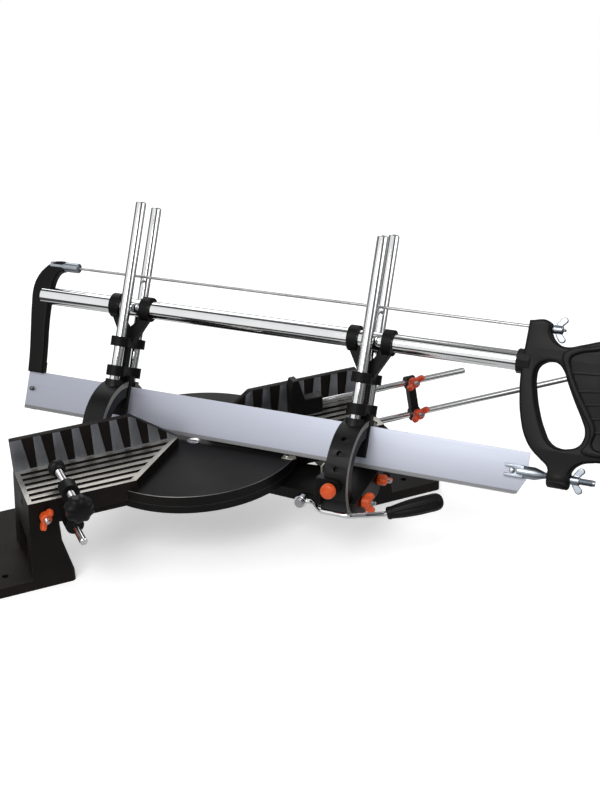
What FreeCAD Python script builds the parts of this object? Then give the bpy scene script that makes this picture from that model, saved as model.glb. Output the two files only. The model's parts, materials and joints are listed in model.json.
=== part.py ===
import FreeCAD, Part
import Sketcher
import math
import os
import re
from FreeCAD import Placement, Rotation, Vector

# Manual compound mitre saw: a frame saw that slides in two pairs of tilting guide posts
# over a turntable between two fenced beds.
#
# Part frame, millimetres: +X along the fence to the right, +Y away from the user, +Z up.
# The origin is on the bench, under the turntable's pivot and midway between the bench bolts.
# The model rests in the photographed pose: mitre 45 degrees to the right, bevel 28 degrees.

doc = FreeCAD.newDocument("compound_mitre_saw")
sheet = doc.addObject("Spreadsheet::Sheet", "sizes")
size_names = []


def size(name, value, note):
    """One driving dimension: its note, its value and its name in the sheet."""
    row = len(size_names) + 1
    sheet.set("A%d" % row, note)
    sheet.set("B%d" % row, str(value))
    sheet.setAlias("B%d" % row, name)
    size_names.append(name)


# Pose and overall sizes
size("mitre_angle", 45, "turntable turned to the right, degrees")
size("bevel_angle", 28, "guide posts leaning away from the user, degrees")
size("rib_top", 100, "bench to the top of the bed ribs")
size("bed_half", 200, "pivot to the outer end of each bed")
size("bed_front", 74, "pivot to the front edge of the beds")
size("fence_face", 2, "fence face in front of the pivot")
size("fence_height", 37.2, "fence above the ribs")
size("fence_thick", 8, "fence wall")
size("fence_tip", 18.5, "inner end of the fence at the ribs, from the centre")
size("fence_top_tip", 68.5, "inner end of the fence at its top edge")
size("bed_corner", 86, "inner front corner of each bed, from the centre")
size("deck_thick", 9.6, "bed deck")
size("groove_depth", 1.5, "grooves between the bed ribs")
size("groove_width", 5.4, "width of a bed groove")
size("groove_pitch", 11.2, "groove to groove")
size("groove_start", 6, "first groove behind the fence face")
size("groove_border", 5, "plain border round the grooves")
size("flute_pitch", 20.65, "fence pads, one to the next")
size("flute_first", 24.8, "outer end of the bed to the second fence pad")
size("flute_top", 7.8, "fence pad width at the top")
size("flute_bottom", 13, "fence pad width at the foot")
size("flute_end_top", 12, "end pad width at the top")
size("flute_depth", 1.6, "recess between fence pads")
size("apron_bottom", 72, "lower edge of the bed's apron above the bench")
size("apron_wall", 7, "apron and rear rib")
size("foot_tip", 270, "pivot to the outer end of the foot")
size("foot_inner", 162, "pivot to the inner edge of the foot")
size("foot_thick", 12, "foot plate")
size("foot_front", 79, "foot plate in front of the pivot")
size("foot_back", 75, "foot plate behind the pivot")
size("foot_round", 5, "corner radius of the foot plate")
size("leg_flare", 8, "how far the leg splays at its outer side")
size("leg_inner", 171, "inner face of the leg")
size("leg_back", 10, "back of the leg behind the pivot")
size("leg_pocket", 12, "depth of the leg's side pocket")
size("leg_pocket_top", 52, "top of the leg's side pocket above the bench")
size("leg_pocket_front", 58, "front of the leg's side pocket before the pivot")
size("leg_pocket_back", 10, "back of the leg's side pocket before the pivot")
size("bench_hole_x", 232, "bench bolt holes from the centre, sideways")
size("bench_hole_y", 58, "bench bolt holes from the centre, front to back")
size("bench_hole_r", 3.5, "bench bolt hole radius")

# Turntable, pan and arm
size("table_radius", 121, "turntable")
size("table_gap", 0.3, "turntable top below the bed decks")
size("table_thick", 11.9, "turntable disc")
size("table_rear", 84, "straight rear edge of the turntable behind the pivot")
size("pan_thick", 8, "fixed pan under the turntable")
size("pan_gap", 0.2, "turntable above the pan")
size("pan_rear_radius", 80, "pan behind the fence")
size("pan_split", 12, "where the pan steps in to its rear radius")
size("pan_ear", 152, "outer end of the pan's ears")
size("hub_r", 20, "turntable hub")
size("hub_bore_gap", 0.06, "running clearance round the hub")
size("arm_gap", 0.4, "arm below the pan")
size("arm_bottom", 57, "underside of the arm above the bench")
size("arm_half", 26, "half width of the arm")
size("arm_end_half", 31, "half width of the arm at its front end")
size("pan_bolt_x", 138, "pan bolts from the centre, sideways")
size("pan_bolt_y", 22, "pan bolts in front of the pivot")
size("pan_bolt_pitch", 38, "pan bolts, front to back")
size("pan_bolt_r", 3, "pan bolt shank")
size("pan_bolt_grip", 9, "pan bolt in the bed")
size("pan_bolt_hole", 10, "blind bolt holes in the beds")
size("pivot_bolt_r", 5, "pivot bolt shank")
size("pivot_head_r", 7.5, "pivot bolt head")

# Tilting rings and guide posts, measured along the blade from the pivot
size("front_post_at", 190, "front posts")
size("rear_post_at", 101, "rear posts behind the pivot")
size("ring_wide", 24, "width of a tilting ring")
size("ring_outer", 54, "outer radius of a ring")
size("ring_inner", 36, "inner radius of a ring")
size("ring_flat", 48, "flat underside of a ring below the tilt axis")
size("rim_wide", 6, "machined rim on the ring's front face")
size("rim_high", 0.8, "machined rim above the ring's face")
size("ring_gap", 0.3, "ring to the cheeks and saddle that guide it")
size("cheek_thick", 6, "cheek plates beside a ring")
size("saddle_top", 14, "top of the arm's saddle below the tilt axis")
size("post_across", 18.4, "guide post to the blade's plane")
size("post_r", 6, "guide post radius")
size("post_foot", 38, "lower end of the posts above the tilt axis")
size("post_top_near", 248, "top of the near front post above the tilt axis")
size("post_top_far", 255, "top of the far front post above the tilt axis")
size("post_top_rear", 257.5, "top of the rear posts above the tilt axis")
size("socket_r", 10, "post socket on the ring")
size("socket_top", 54, "top of the post sockets")
size("mouth_half", 8, "half width of the ring's mouth over the blade")

# Carriages
size("slide_gap", 0.06, "running clearance on posts and tube")
size("tube_height", 138.3, "frame tube above the tilt axis")
size("tube_r", 10, "frame tube radius")
size("tube_bore", 8.6, "inside radius of the frame tube")
size("tube_ring_r", 14, "tube rings of a carriage")
size("collar_r", 10.5, "post collars of a carriage")
size("upper_collar", 92, "underside of the upper collars")
size("upper_collar_tall", 11, "height of the upper collars")
size("lower_collar", 58, "underside of the lower collars")
size("lower_collar_tall", 12, "height of the lower collars")
size("neck_thick", 9, "web between the collars")
size("fork_wide", 20, "blade guide, along the blade")
size("fork_bottom", 14, "lower end of the blade guide")
size("fork_out", 4.5, "outside of the blade guide from the blade's plane")
size("fork_gap", 0.3, "blade guide to the blade's face")

# Frame saw
size("blade_thick", 1, "blade")
size("blade_tall", 45, "blade height")
size("blade_back", 225.9, "rear end of the blade behind the pivot")
size("blade_front", 374.1, "front end of the blade")
size("blade_edge", 3.1, "tooth edge above the tilt axis")
size("blade_slant", 17, "slanted lower corner at the blade's front end")
size("pin_rear_at", 218.5, "rear blade pin behind the pivot")
size("pin_front_at", 359, "front blade pin")
size("pin_height", 27.5, "blade pins above the tilt axis")
size("pin_r", 2.5, "blade pins")
size("pin_gap", 0.1, "clearance round the lever's pin")
size("frame_half", 5.5, "half thickness of the rear frame arm")
size("rod_height", 174.5, "tension rod above the tilt axis")
size("rod_r", 1.6, "tension rod")
size("rod_back", 195, "rear end of the tension rod behind the pivot")
size("rod_front", 391, "front end of the tension rod")
size("clevis_long", 91, "clevis with its bolt")
size("handle_half", 11, "half thickness of the handle's casting")
size("grip_half", 14, "half thickness of the hand grip")
size("tube_collar_r", 12.8, "handle's collar round the tube")
size("tube_collar_at", 347, "near end of the handle's collar")
size("tube_collar_long", 14, "length of the handle's collar")
size("tube_back", 222, "rear end of the frame tube behind the pivot")
size("ferrule_r", 5.7, "tension rod's ferrule")
size("ferrule_back", 217, "rear end of the ferrule behind the pivot")
size("ferrule_long", 38, "ferrule")
size("clevis_r", 6.5, "clevis body")
size("clevis_bolt_r", 3.5, "clevis bolt")
size("top_nut_at", 378, "rear face of the tension rod's wing nut")
size("bottom_nut_at", 417.3, "rear face of the clevis bolt's wing nut")
size("wing_r", 4.5, "wing nut barrel")
size("wing_span", 13, "wing tip from the axis")
size("wing_thick", 2.6, "wing thickness")

# Work clamp, length stop and small controls
size("clamp_x", 160, "work clamp from the centre")
size("clamp_rod_z", 78, "clamp rod above the bench")
size("clamp_rod_r", 4, "clamp rod")
size("clamp_screw_z", 117, "clamp screw above the bench")
size("clamp_screw_r", 4, "clamp screw")
size("clamp_arm_y", 90, "clamp arm in front of the pivot")
size("clamp_arm_thick", 15, "clamp arm, front to back")
size("clamp_boss_r", 9.5, "clamp arm's bosses")
size("clamp_pad_r", 9, "clamp pad")
size("clamp_pad_y", 40, "clamp pad's pressing face in front of the pivot")
size("clamp_knob_r", 15, "clamp knob")
size("clamp_knob_y", 122, "back of the clamp knob in front of the pivot")
size("clamp_gap", 0.06, "running clearance of the clamp's rods")
size("clamp_rod_front", 130, "front end of the clamp rod before the pivot")
size("clamp_rod_long", 122, "clamp rod")
size("clamp_yaw", 2.5, "clamp bar turned to the right in its hole, degrees")
size("clamp_dip", 1.5, "clamp bar dropping towards its front end, degrees")
size("stop_y", 38, "stop rods in front of the pivot")
size("stop_low_z", 84, "lower stop rod above the bench")
size("stop_spread", 37, "between the stop rods")
size("stop_r", 3.5, "stop rods")
size("stop_low_end", 462, "outer end of the lower stop rod")
size("stop_high_start", 116, "inner end of the upper stop rod")
size("stop_high_end", 327, "outer end of the upper stop rod")
size("stop_lean", 20, "stop link leaning towards the fence, degrees")
size("stop_link_x", 256, "stop link from the pivot")
size("stop_link_thick", 11, "stop link, along the rods")
size("stop_link_r", 7.5, "ends of the stop link")
size("lock_x", 184.5, "lock screws in the legs from the centre")
size("screw_r", 2.5, "wing screw shanks")
size("plunger_angle", 10, "index plunger above the horizontal, degrees")
size("plunger_r", 3, "index plunger pin")
size("plunger_knob_r", 8, "index plunger knob")
size("index_step", 18, "between index holes, degrees")
size("index_depth", 5, "depth of the index holes")
size("plunger_rest", 0.3, "plunger tip clear of the ring when pulled")
size("plunger_boss", 6, "height of the plunger's boss")
size("lever_r", 2.9, "release lever rod")
size("lever_pin_at", 145, "release lever's pin, along the arm")
size("lever_pin_z", 63, "release lever's pin above the bench")
size("lever_across", 35, "release lever's eye from the arm's middle")
size("bevel_knob_across", 24.5, "bevel clamp screws from the arm's middle")
size("bevel_knob_z", 68, "bevel clamp screws above the bench")

doc.recompute()

ALIAS = re.compile(r"\b(" + "|".join(sorted(size_names, key=len, reverse=True)) + r")\b")
nodes = {}


def value(expression):
    """The number an expression of named sizes stands for."""
    result = sheet.evalExpression(ALIAS.sub(r"sizes.\1", str(expression)))
    return float(getattr(result, "Value", result))


def bind(target, path, expression):
    """Tie one property to an expression of named sizes."""
    target.setExpression(path, ALIAS.sub(r"sizes.\1", str(expression)))


def group(name, pieces):
    """Separate solids kept together, such as identical fasteners."""
    bundle = doc.addObject("Part::Compound", name)
    bundle.Links = pieces
    return bundle


def keep(label, target, placement=None):
    """Name a finished sub-part and set its place; a bare primitive keeps its own inside a holder."""
    if placement is not None:
        if target.TypeId in ("Part::Box", "Part::Cylinder"):
            target = group(label + "_holder", [target])
        target.Placement = placement
    target.Label = label
    nodes[label] = target
    return target


# Frames of the three moving groups. In the saw frame X runs along the blade to the handle,
# Y across it and Z up along the posts, from the tilt axis. The table frame is upright.
AXIS_HEIGHT = "rib_top - deck_thick - table_gap"
TABLE = Placement(Vector(0, 0, 0), Rotation(Vector(0, 0, 1), value("mitre_angle") - 90))
TILT = Rotation(Vector(1, 0, 0), -value("bevel_angle"))
SAW = Placement(Vector(0, 0, value(AXIS_HEIGHT)), TABLE.Rotation * TILT)
TURN = {
    "x": Rotation(Vector(0, 1, 0), 90),
    "y": Rotation(Vector(1, 0, 0), -90),
    "z": Rotation(),
}
PLANE = {"x": "YZ_Plane", "y": "XZ_Plane", "z": "XY_Plane"}


def box(name, low, high):
    """A block between two corners."""
    block = doc.addObject("Part::Box", name)
    for axis, length, start, end in zip("xyz", ("Length", "Width", "Height"), low, high):
        bind(block, length, "(%s) - (%s)" % (end, start))
        bind(block, "Placement.Base." + axis, start)
    return block


def rod(name, axis, centre, radius, length):
    """A round bar that starts at centre and runs along an axis."""
    bar = doc.addObject("Part::Cylinder", name)
    bar.Placement = Placement(Vector(), TURN[axis])
    bind(bar, "Radius", radius)
    bind(bar, "Height", length)
    for direction, place in zip("xyz", centre):
        bind(bar, "Placement.Base." + direction, place)
    return bar


def fuse(name, pieces):
    """One solid out of several that touch."""
    whole = doc.addObject("Part::MultiFuse", name)
    whole.Shapes = pieces
    whole.Refine = True
    return whole


def cut(name, base, tools):
    """A piece with others taken away."""
    result = doc.addObject("Part::Cut", name)
    result.Base = base
    result.Tool = tools[0] if len(tools) == 1 else fuse(name + "_tools", tools)
    result.Refine = True
    return result


def common(name, first, second):
    """What two shapes share."""
    result = doc.addObject("Part::Common", name)
    result.Base = first
    result.Tool = second
    return result


def plate(name, axis, points, start, end):
    """A plate with straight sides: a closed outline across an axis, padded from start to end.

    The outline's numbers are (Y, Z) across x, (X, Z) across y and (X, Y) across z.
    """
    body = doc.addObject("PartDesign::Body", name)
    flat = [f for f in body.Origin.OriginFeatures if f.Role == PLANE[axis]][0]
    sketch = body.newObject("Sketcher::SketchObject", name + "_outline")
    sketch.AttachmentSupport = (flat, [""])
    sketch.MapMode = "FlatFace"
    sign = -1 if axis == "y" else 1
    near = end if axis == "y" else start
    bind(sketch, "AttachmentOffset.Base.z", "%d * (%s)" % (sign, near))
    spots = [Vector(value(a), value(b), 0) for a, b in points]
    count = len(spots)
    for index in range(count):
        sketch.addGeometry(Part.LineSegment(spots[index], spots[(index + 1) % count]))
    for index in range(count):
        sketch.addConstraint(Sketcher.Constraint("Coincident", index, 2, (index + 1) % count, 1))
    for index, (across, up) in enumerate(points):
        for kind, wanted in (("DistanceX", across), ("DistanceY", up)):
            number = sketch.addConstraint(
                Sketcher.Constraint(kind, -1, 1, index, 1, value(wanted))
            )
            bind(sketch, "Constraints[%d]" % number, wanted)
    pad = body.newObject("PartDesign::Pad", name + "_pad")
    pad.Profile = sketch
    bind(pad, "Length", "(%s) - (%s)" % (end, start))
    return body


def rounded(name, body, spots, axis, radius):
    """Round the edges of a plate that run along its axis through the given outline points."""
    doc.recompute()
    shape = body.Shape
    wanted = []
    for number, edge in enumerate(shape.Edges, 1):
        ends = [vertex.Point for vertex in edge.Vertexes]
        if len(ends) != 2:
            continue
        flats = [flat_of(end, axis) for end in ends]
        if math.dist(flats[0], flats[1]) > 1e-4:
            continue
        for spot in spots:
            if math.dist(flats[0], (value(spot[0]), value(spot[1]))) < 1e-3:
                wanted.append("Edge%d" % number)
    base = body.Tip
    fillet = body.newObject("PartDesign::Fillet", name)
    fillet.Base = (base, wanted)
    bind(fillet, "Radius", radius)
    return body


def flat_of(point, axis):
    """A point's two numbers in the plane across an axis."""
    return {
        "x": (point.y, point.z),
        "y": (point.x, point.z),
        "z": (point.x, point.y),
    }[axis]


def mirrored(name, source):
    """The same piece on the other side of the pivot."""
    twin = doc.addObject("Part::Mirroring", name)
    twin.Source = source
    twin.Normal = Vector(1, 0, 0)
    return twin


def moved(name, source, placement):
    """A finished shape set into place inside a larger piece."""
    holder = doc.addObject("Part::Compound", name)
    holder.Links = [source]
    holder.Placement = placement
    return holder


# Beds: deck with ribs, fence with tapered pads, apron, leg and foot in one casting
def bed_groove_field(side):
    """The ribbed area: grooves along the fence, trimmed to a border inside the deck."""
    grooves = []
    for index in range(6):
        near = "-fence_face - groove_start - %d * groove_pitch" % index
        grooves.append(
            box(
                side + "_groove_%d" % index,
                ("-bed_half", near + " - groove_width", "rib_top - groove_depth"),
                ("0", near, "rib_top + 1"),
            )
        )
    field = plate(
        side + "_groove_field",
        "z",
        [
            ("-bed_half + groove_border", "-fence_face - 1"),
            ("-fence_tip - 1.6 * groove_border", "-fence_face - 1"),
            ("-bed_corner - 1.4 * groove_border", "-bed_front + 2"),
            ("-bed_half + groove_border", "-bed_front + 2"),
        ],
        "rib_top - 2 * groove_depth",
        "rib_top + 2",
    )
    return common(side + "_grooves", fuse(side + "_groove_bars", grooves), field)


def fence_recesses(side):
    """Dark recesses between the fence's machined pads, open at the top edge."""
    recesses = []
    foot = "rib_top + 1"
    top = "rib_top + fence_height + 1"
    for index in range(8):
        right = "-bed_half + flute_first + %d * flute_pitch" % index
        if index == 0:
            left_top = "-bed_half + flute_end_top"
            left_foot = "-bed_half + flute_end_top + flute_bottom - flute_top"
        else:
            left_top = right + " - flute_pitch + flute_top"
            left_foot = right + " - flute_pitch + flute_bottom"
        recesses.append(
            plate(
                side + "_recess_%d" % index,
                "y",
                [(left_foot, foot), (right, foot), (right, top), (left_top, top)],
                "-fence_face - 1",
                "-fence_face + flute_depth",
            )
        )
    return recesses


def foot_plate(name, start, end):
    """The foot's outline with its rounded corners, from one height to another."""
    corners = [
        ("-foot_tip", "-foot_front"),
        ("-foot_inner", "-foot_front"),
        ("-foot_inner", "foot_back"),
        ("-foot_tip", "foot_back"),
    ]
    outline = plate(name, "z", corners, start, end)
    return rounded(name + "_corners", outline, corners, "z", "foot_round")


def bed_casting(side):
    """The bed left of the pivot."""
    deck = plate(
        side + "_deck",
        "z",
        [
            ("-bed_half", "-fence_face + fence_thick"),
            ("-fence_tip", "-fence_face + fence_thick"),
            ("-fence_tip", "-fence_face"),
            ("-bed_corner", "-bed_front"),
            ("-bed_half", "-bed_front"),
        ],
        "rib_top - deck_thick",
        "rib_top",
    )
    fence = plate(
        side + "_fence",
        "y",
        [
            ("-bed_half", "rib_top - deck_thick"),
            ("-fence_tip", "rib_top - deck_thick"),
            ("-fence_tip", "rib_top"),
            ("-fence_top_tip", "rib_top + fence_height"),
            ("-bed_half", "rib_top + fence_height"),
        ],
        "-fence_face",
        "-fence_face + fence_thick",
    )
    leg_side = plate(
        side + "_leg_side",
        "y",
        [
            ("-bed_half", "rib_top - deck_thick / 2"),
            ("-bed_half - leg_flare", "foot_thick / 2"),
            ("-foot_inner", "foot_thick / 2"),
            ("-leg_inner", "rib_top / 2"),
            ("-leg_inner", "rib_top - deck_thick / 2"),
        ],
        "-foot_front - 1",
        "leg_back",
    )
    leg_profile = plate(
        side + "_leg_profile",
        "x",
        [
            ("-bed_front", "rib_top - deck_thick / 2"),
            ("-foot_front", "foot_thick"),
            ("-foot_front", "foot_thick / 2"),
            ("leg_back", "foot_thick / 2"),
            ("leg_back", "rib_top - deck_thick / 2"),
        ],
        "-bed_half - leg_flare - 1",
        "-foot_inner + 1",
    )
    leg_corners = foot_plate(side + "_leg_corners", "0", "rib_top")
    leg_blank = common(side + "_leg_blank", leg_side, leg_profile)
    leg = common(side + "_leg", leg_blank, leg_corners)
    foot = foot_plate(side + "_foot", "0", "foot_thick")
    apron = box(
        side + "_apron",
        ("-leg_inner - 1", "-bed_front", "apron_bottom"),
        ("-bed_corner - 4", "-bed_front + apron_wall", "rib_top - deck_thick / 2"),
    )
    rear_rib = box(
        side + "_rear_rib",
        ("-leg_inner - 1", "-fence_face", "apron_bottom"),
        ("-pan_rear_radius", "-fence_face + fence_thick", "rib_top - deck_thick / 2"),
    )
    bosses = [
        rod(
            side + "_boss_%d" % index,
            "z",
            ("-pan_bolt_x", "-pan_bolt_y + %d * pan_bolt_pitch" % -index, PAN_TOP),
            "3 * pan_bolt_r",
            "rib_top - deck_thick / 2 - (%s)" % PAN_TOP,
        )
        for index in range(2)
    ]
    solid = fuse(side + "_rough", [deck, fence, leg, foot, apron, rear_rib] + bosses)

    swing = rod(
        side + "_swing",
        "z",
        ("0", "0", "foot_thick"),
        "table_radius + 1",
        "rib_top - deck_thick - foot_thick",
    )
    ear_room = box(
        side + "_ear_room",
        ("-pan_ear - 0.5", "-bed_front - 1", "foot_thick"),
        ("0", "leg_back + 20", PAN_TOP),
    )
    pocket = box(
        side + "_leg_pocket",
        ("-bed_half - leg_flare - 1", "-leg_pocket_front", "foot_thick"),
        ("-bed_half + leg_pocket", "-leg_pocket_back", "leg_pocket_top"),
    )
    stop_hole = rod(
        side + "_stop_hole",
        "x",
        ("-bed_half - leg_flare - 1", "-stop_y", "stop_low_z"),
        "stop_r + slide_gap",
        "bed_half - leg_inner + leg_flare + 2",
    )
    lock_hole = rod(
        side + "_lock_hole",
        "y",
        ("-lock_x", "-bed_front - 1", "stop_low_z"),
        "screw_r + slide_gap",
        "bed_front - stop_y + 1",
    )
    clamp_bore = rod(
        side + "_clamp_bore",
        "y",
        ("-clamp_x", "-bed_front - 2", "clamp_rod_z"),
        "clamp_rod_r + clamp_gap",
        "apron_wall + 4",
    )
    clamp_hole = moved(side + "_clamp_hole", clamp_bore, CLAMP)
    bench_holes = [
        rod(
            side + "_bench_hole_%d" % index,
            "z",
            ("-bench_hole_x", "%d * bench_hole_y" % direction, "-1"),
            "bench_hole_r",
            "foot_thick + 2",
        )
        for index, direction in enumerate((-1, 1))
    ]
    blind_holes = [
        rod(
            side + "_bolt_hole_%d" % index,
            "z",
            ("-pan_bolt_x", "-pan_bolt_y - %d * pan_bolt_pitch" % index, PAN_TOP + " - 1"),
            "pan_bolt_r",
            "pan_bolt_hole + 1",
        )
        for index in range(2)
    ]
    tools = [swing, ear_room, pocket, stop_hole, lock_hole, clamp_hole]
    tools += bench_holes + blind_holes
    tools += fence_recesses(side) + [bed_groove_field(side)]
    return cut(side + "_casting", solid, tools)


PAN_TOP = "(%s - table_thick - pan_gap)" % AXIS_HEIGHT

# The clamp's bar sits a little askew in its hole, and everything on it follows
CLAMP_HOLE = Vector(-value("clamp_x"), -value("bed_front"), value("clamp_rod_z"))
CLAMP = (
    Placement(CLAMP_HOLE, Rotation(value("clamp_yaw"), 0, value("clamp_dip")))
    * Placement(CLAMP_HOLE, Rotation()).inverse()
)
left_bed = keep("left_bed", bed_casting("left"))
keep("right_bed", mirrored("right_casting", bed_casting("right")))


# Base pan: fixed plate under the turntable, bolted to both beds
def base_pan():
    """Round pan, narrower behind the fence, with an ear under each bed."""
    low = PAN_TOP + " - pan_thick"
    front = rod("pan_front", "z", ("0", "0", low), "table_radius", "pan_thick")
    front_half = common(
        "pan_front_half",
        front,
        box(
            "pan_front_room",
            ("-table_radius", "-table_radius", low),
            ("table_radius", "pan_split", PAN_TOP),
        ),
    )
    rear = rod("pan_rear", "z", ("0", "0", low), "pan_rear_radius", "pan_thick")
    ears = box(
        "pan_ears",
        ("-pan_ear", "-pan_bolt_y - pan_bolt_pitch - 3.4 * pan_bolt_r", low),
        ("pan_ear", "-pan_bolt_y + 3.4 * pan_bolt_r", PAN_TOP),
    )
    tools = [
        rod("pan_bore", "z", ("0", "0", low + " - 1"), "hub_r + hub_bore_gap", "pan_thick + 2")
    ]
    for side in (-1, 1):
        for index in range(2):
            tools.append(
                rod(
                    "pan_bolt_hole_%d_%d" % (side + 1, index),
                    "z",
                    (
                        "%d * pan_bolt_x" % side,
                        "-pan_bolt_y - %d * pan_bolt_pitch" % index,
                        low + " - 1",
                    ),
                    "pan_bolt_r",
                    "pan_thick + 2",
                )
            )
    return cut("pan", fuse("pan_rough", [front_half, rear, ears]), tools)


keep("base_pan", base_pan())


def pan_bolts():
    """Four hexagon bolts up through the pan's ears into the beds."""
    bolts = []
    low = PAN_TOP + " - pan_thick"
    for side in (-1, 1):
        for index in range(2):
            name = "pan_bolt_%d_%d" % (side + 1, index)
            spot = ("%d * pan_bolt_x" % side, "-pan_bolt_y - %d * pan_bolt_pitch" % index)
            shank_spot = spot + (low + " - 1",)
            shank_long = "pan_thick + pan_bolt_grip"
            shank = rod(name + "_shank", "z", shank_spot, "pan_bolt_r", shank_long)
            head_low = low + " - 1.4 * pan_bolt_r"
            head = hexagon(name + "_head", spot, head_low, low, "1.8 * pan_bolt_r")
            bolts.append(fuse(name, [shank, head]))
    return group("pan_bolt_set", bolts)


def hexagon(name, spot, start, end, radius):
    """A hexagonal head or nut on a vertical axis."""
    head = doc.addObject("Part::Prism", name)
    head.Polygon = 6
    bind(head, "Circumradius", radius)
    bind(head, "Height", "(%s) - (%s)" % (end, start))
    bind(head, "Placement.Base.x", spot[0])
    bind(head, "Placement.Base.y", spot[1])
    bind(head, "Placement.Base.z", start)
    return head


keep("pan_bolts", pan_bolts())


# Turntable: disc with a straight rear edge and a hub down through the pan
def turntable():
    """Disc and hub in one casting, in the table frame."""
    low = "(%s - table_thick)" % AXIS_HEIGHT
    disc = rod("table_disc", "z", ("0", "0", low), "table_radius", "table_thick")
    rear = box(
        "table_rear_cut",
        ("-table_radius - 1", "-table_radius - 1", low + " - 1"),
        ("-table_rear", "table_radius + 1", AXIS_HEIGHT + " + 1"),
    )
    hub = rod("table_hub", "z", ("0", "0", ARM_TOP), "hub_r", low + " - (%s)" % ARM_TOP)
    bolt_hole = rod(
        "table_bolt_hole", "z", ("0", "0", "0"), "pivot_bolt_r", AXIS_HEIGHT + " + 1"
    )
    return cut("table", fuse("table_rough", [disc, hub]), [rear, bolt_hole])


ARM_TOP = "(%s - pan_thick - arm_gap)" % PAN_TOP
keep("turntable", turntable(), TABLE)


def pivot_bolt():
    """Pivot bolt from the turntable's top down through hub and arm, with its nut."""
    shank = rod(
        "pivot_shank",
        "z",
        ("0", "0", "arm_bottom - pivot_bolt_r"),
        "pivot_bolt_r",
        "%s - arm_bottom + pivot_bolt_r" % AXIS_HEIGHT,
    )
    head = rod("pivot_head", "z", ("0", "0", AXIS_HEIGHT), "pivot_head_r", "1.6")
    return fuse("pivot_screw", [shank, head])


keep("pivot_bolt", pivot_bolt(), TABLE)


# Arm: runs under the pan from the rear ring to the front ring
def ring_guide(name, near, far, low_front):
    """Saddle inside a ring and a cheek on each side of it."""
    saddle_round = rod(
        name + "_saddle",
        "x",
        (near + " - cheek_thick", "0", AXIS_HEIGHT),
        "ring_inner - ring_gap",
        "%s - (%s) + 2 * cheek_thick" % (far, near),
    )
    saddle_room = box(
        name + "_saddle_room",
        (near + " - cheek_thick", "-ring_inner", "arm_bottom"),
        (far + " + cheek_thick", "ring_inner", low_front),
    )
    return common(name + "_saddle_cut", saddle_round, saddle_room)


def cheek(name, start, end, radius, low, high):
    """A flat cheek beside a ring, cut level above and below."""
    disc = rod(name + "_disc", "x", (start, "0", AXIS_HEIGHT), radius, "(%s) - (%s)" % (end, start))
    room = box(name + "_room", (start, "-" + radius, low), (end, radius, high))
    return common(name, disc, room)


FRONT_NEAR = "(front_post_at - ring_wide / 2 - ring_gap)"
FRONT_FAR = "(front_post_at + ring_wide / 2 + ring_gap + rim_high)"
REAR_NEAR = "(-rear_post_at - ring_wide / 2 - ring_gap)"
REAR_FAR = "(-rear_post_at + ring_wide / 2 + ring_gap + rim_high)"


def arm():
    """Arm with the guides of both rings and the plunger's housing, in the table frame."""
    beam = plate(
        "arm_beam",
        "z",
        [
            (REAR_NEAR + " - cheek_thick", "-arm_half"),
            ("0.55 * front_post_at", "-arm_half"),
            (FRONT_NEAR, "-arm_end_half"),
            (FRONT_NEAR, "arm_end_half"),
            ("0.55 * front_post_at", "arm_half"),
            (REAR_NEAR + " - cheek_thick", "arm_half"),
        ],
        "arm_bottom",
        ARM_TOP,
    )
    ring_room = rod(
        "arm_rear_ring_room",
        "x",
        (REAR_NEAR, "0", AXIS_HEIGHT),
        "ring_outer + 2",
        "%s - (%s)" % (REAR_FAR, REAR_NEAR),
    )
    rear_core = rod(
        "arm_rear_core",
        "x",
        (REAR_NEAR, "0", AXIS_HEIGHT),
        "ring_inner - ring_gap",
        "%s - (%s)" % (REAR_FAR, REAR_NEAR),
    )
    ring_slot = cut("arm_rear_slot", ring_room, [rear_core])
    beam_cut = cut("arm_beam_cut", beam, [ring_slot])
    rear_cheek = cheek(
        "arm_rear_cheek",
        REAR_NEAR + " - cheek_thick",
        REAR_NEAR,
        "ring_outer - 6",
        "arm_bottom - 8",
        ARM_TOP,
    )
    mid_cheek = cheek(
        "arm_mid_cheek",
        REAR_FAR,
        REAR_FAR + " + cheek_thick",
        "ring_outer - 6",
        "arm_bottom - 8",
        ARM_TOP,
    )
    front_saddle = ring_guide("arm_front", FRONT_NEAR, FRONT_FAR, AXIS_HEIGHT + " - saddle_top")
    front_cheek = cheek(
        "arm_front_cheek",
        FRONT_NEAR + " - cheek_thick",
        FRONT_NEAR,
        "(ring_outer - 1)",
        "arm_bottom - 8",
        AXIS_HEIGHT + " - 4",
    )
    front_plate = cheek(
        "arm_front_plate",
        FRONT_FAR,
        FRONT_FAR + " + cheek_thick",
        "(ring_outer - rim_wide)",
        "arm_bottom - 8",
        AXIS_HEIGHT + " - saddle_top",
    )
    housing = plunger_housing()
    pieces = [beam_cut, rear_cheek, mid_cheek, front_saddle, front_cheek, front_plate, housing]
    solid = fuse("arm_rough", pieces)
    bolt_hole = rod(
        "arm_bolt_hole", "z", ("0", "0", "arm_bottom - 1"), "pivot_bolt_r", ARM_TOP + " - arm_bottom + 2"
    )
    lever_hole = rod(
        "arm_lever_hole",
        "y",
        ("lever_pin_at", "-arm_end_half - 1", "lever_pin_z"),
        "pin_r + pin_gap",
        "14",
    )
    plunger_hole = moved(
        "arm_plunger_hole",
        rod("arm_plunger_bore", "z", ("0", "0", "ring_outer"), "plunger_r + slide_gap", "30"),
        PLUNGER,
    )
    screw_holes = [
        rod(
            "arm_screw_hole_%d" % (side + 1),
            "x",
            (FRONT_FAR + " - 1", "%d * bevel_knob_across" % side, "bevel_knob_z"),
            "screw_r + slide_gap",
            "cheek_thick + 2",
        )
        for side in (-1, 1)
    ]
    return cut("arm_cut", solid, [bolt_hole, lever_hole, plunger_hole] + screw_holes)


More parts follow.
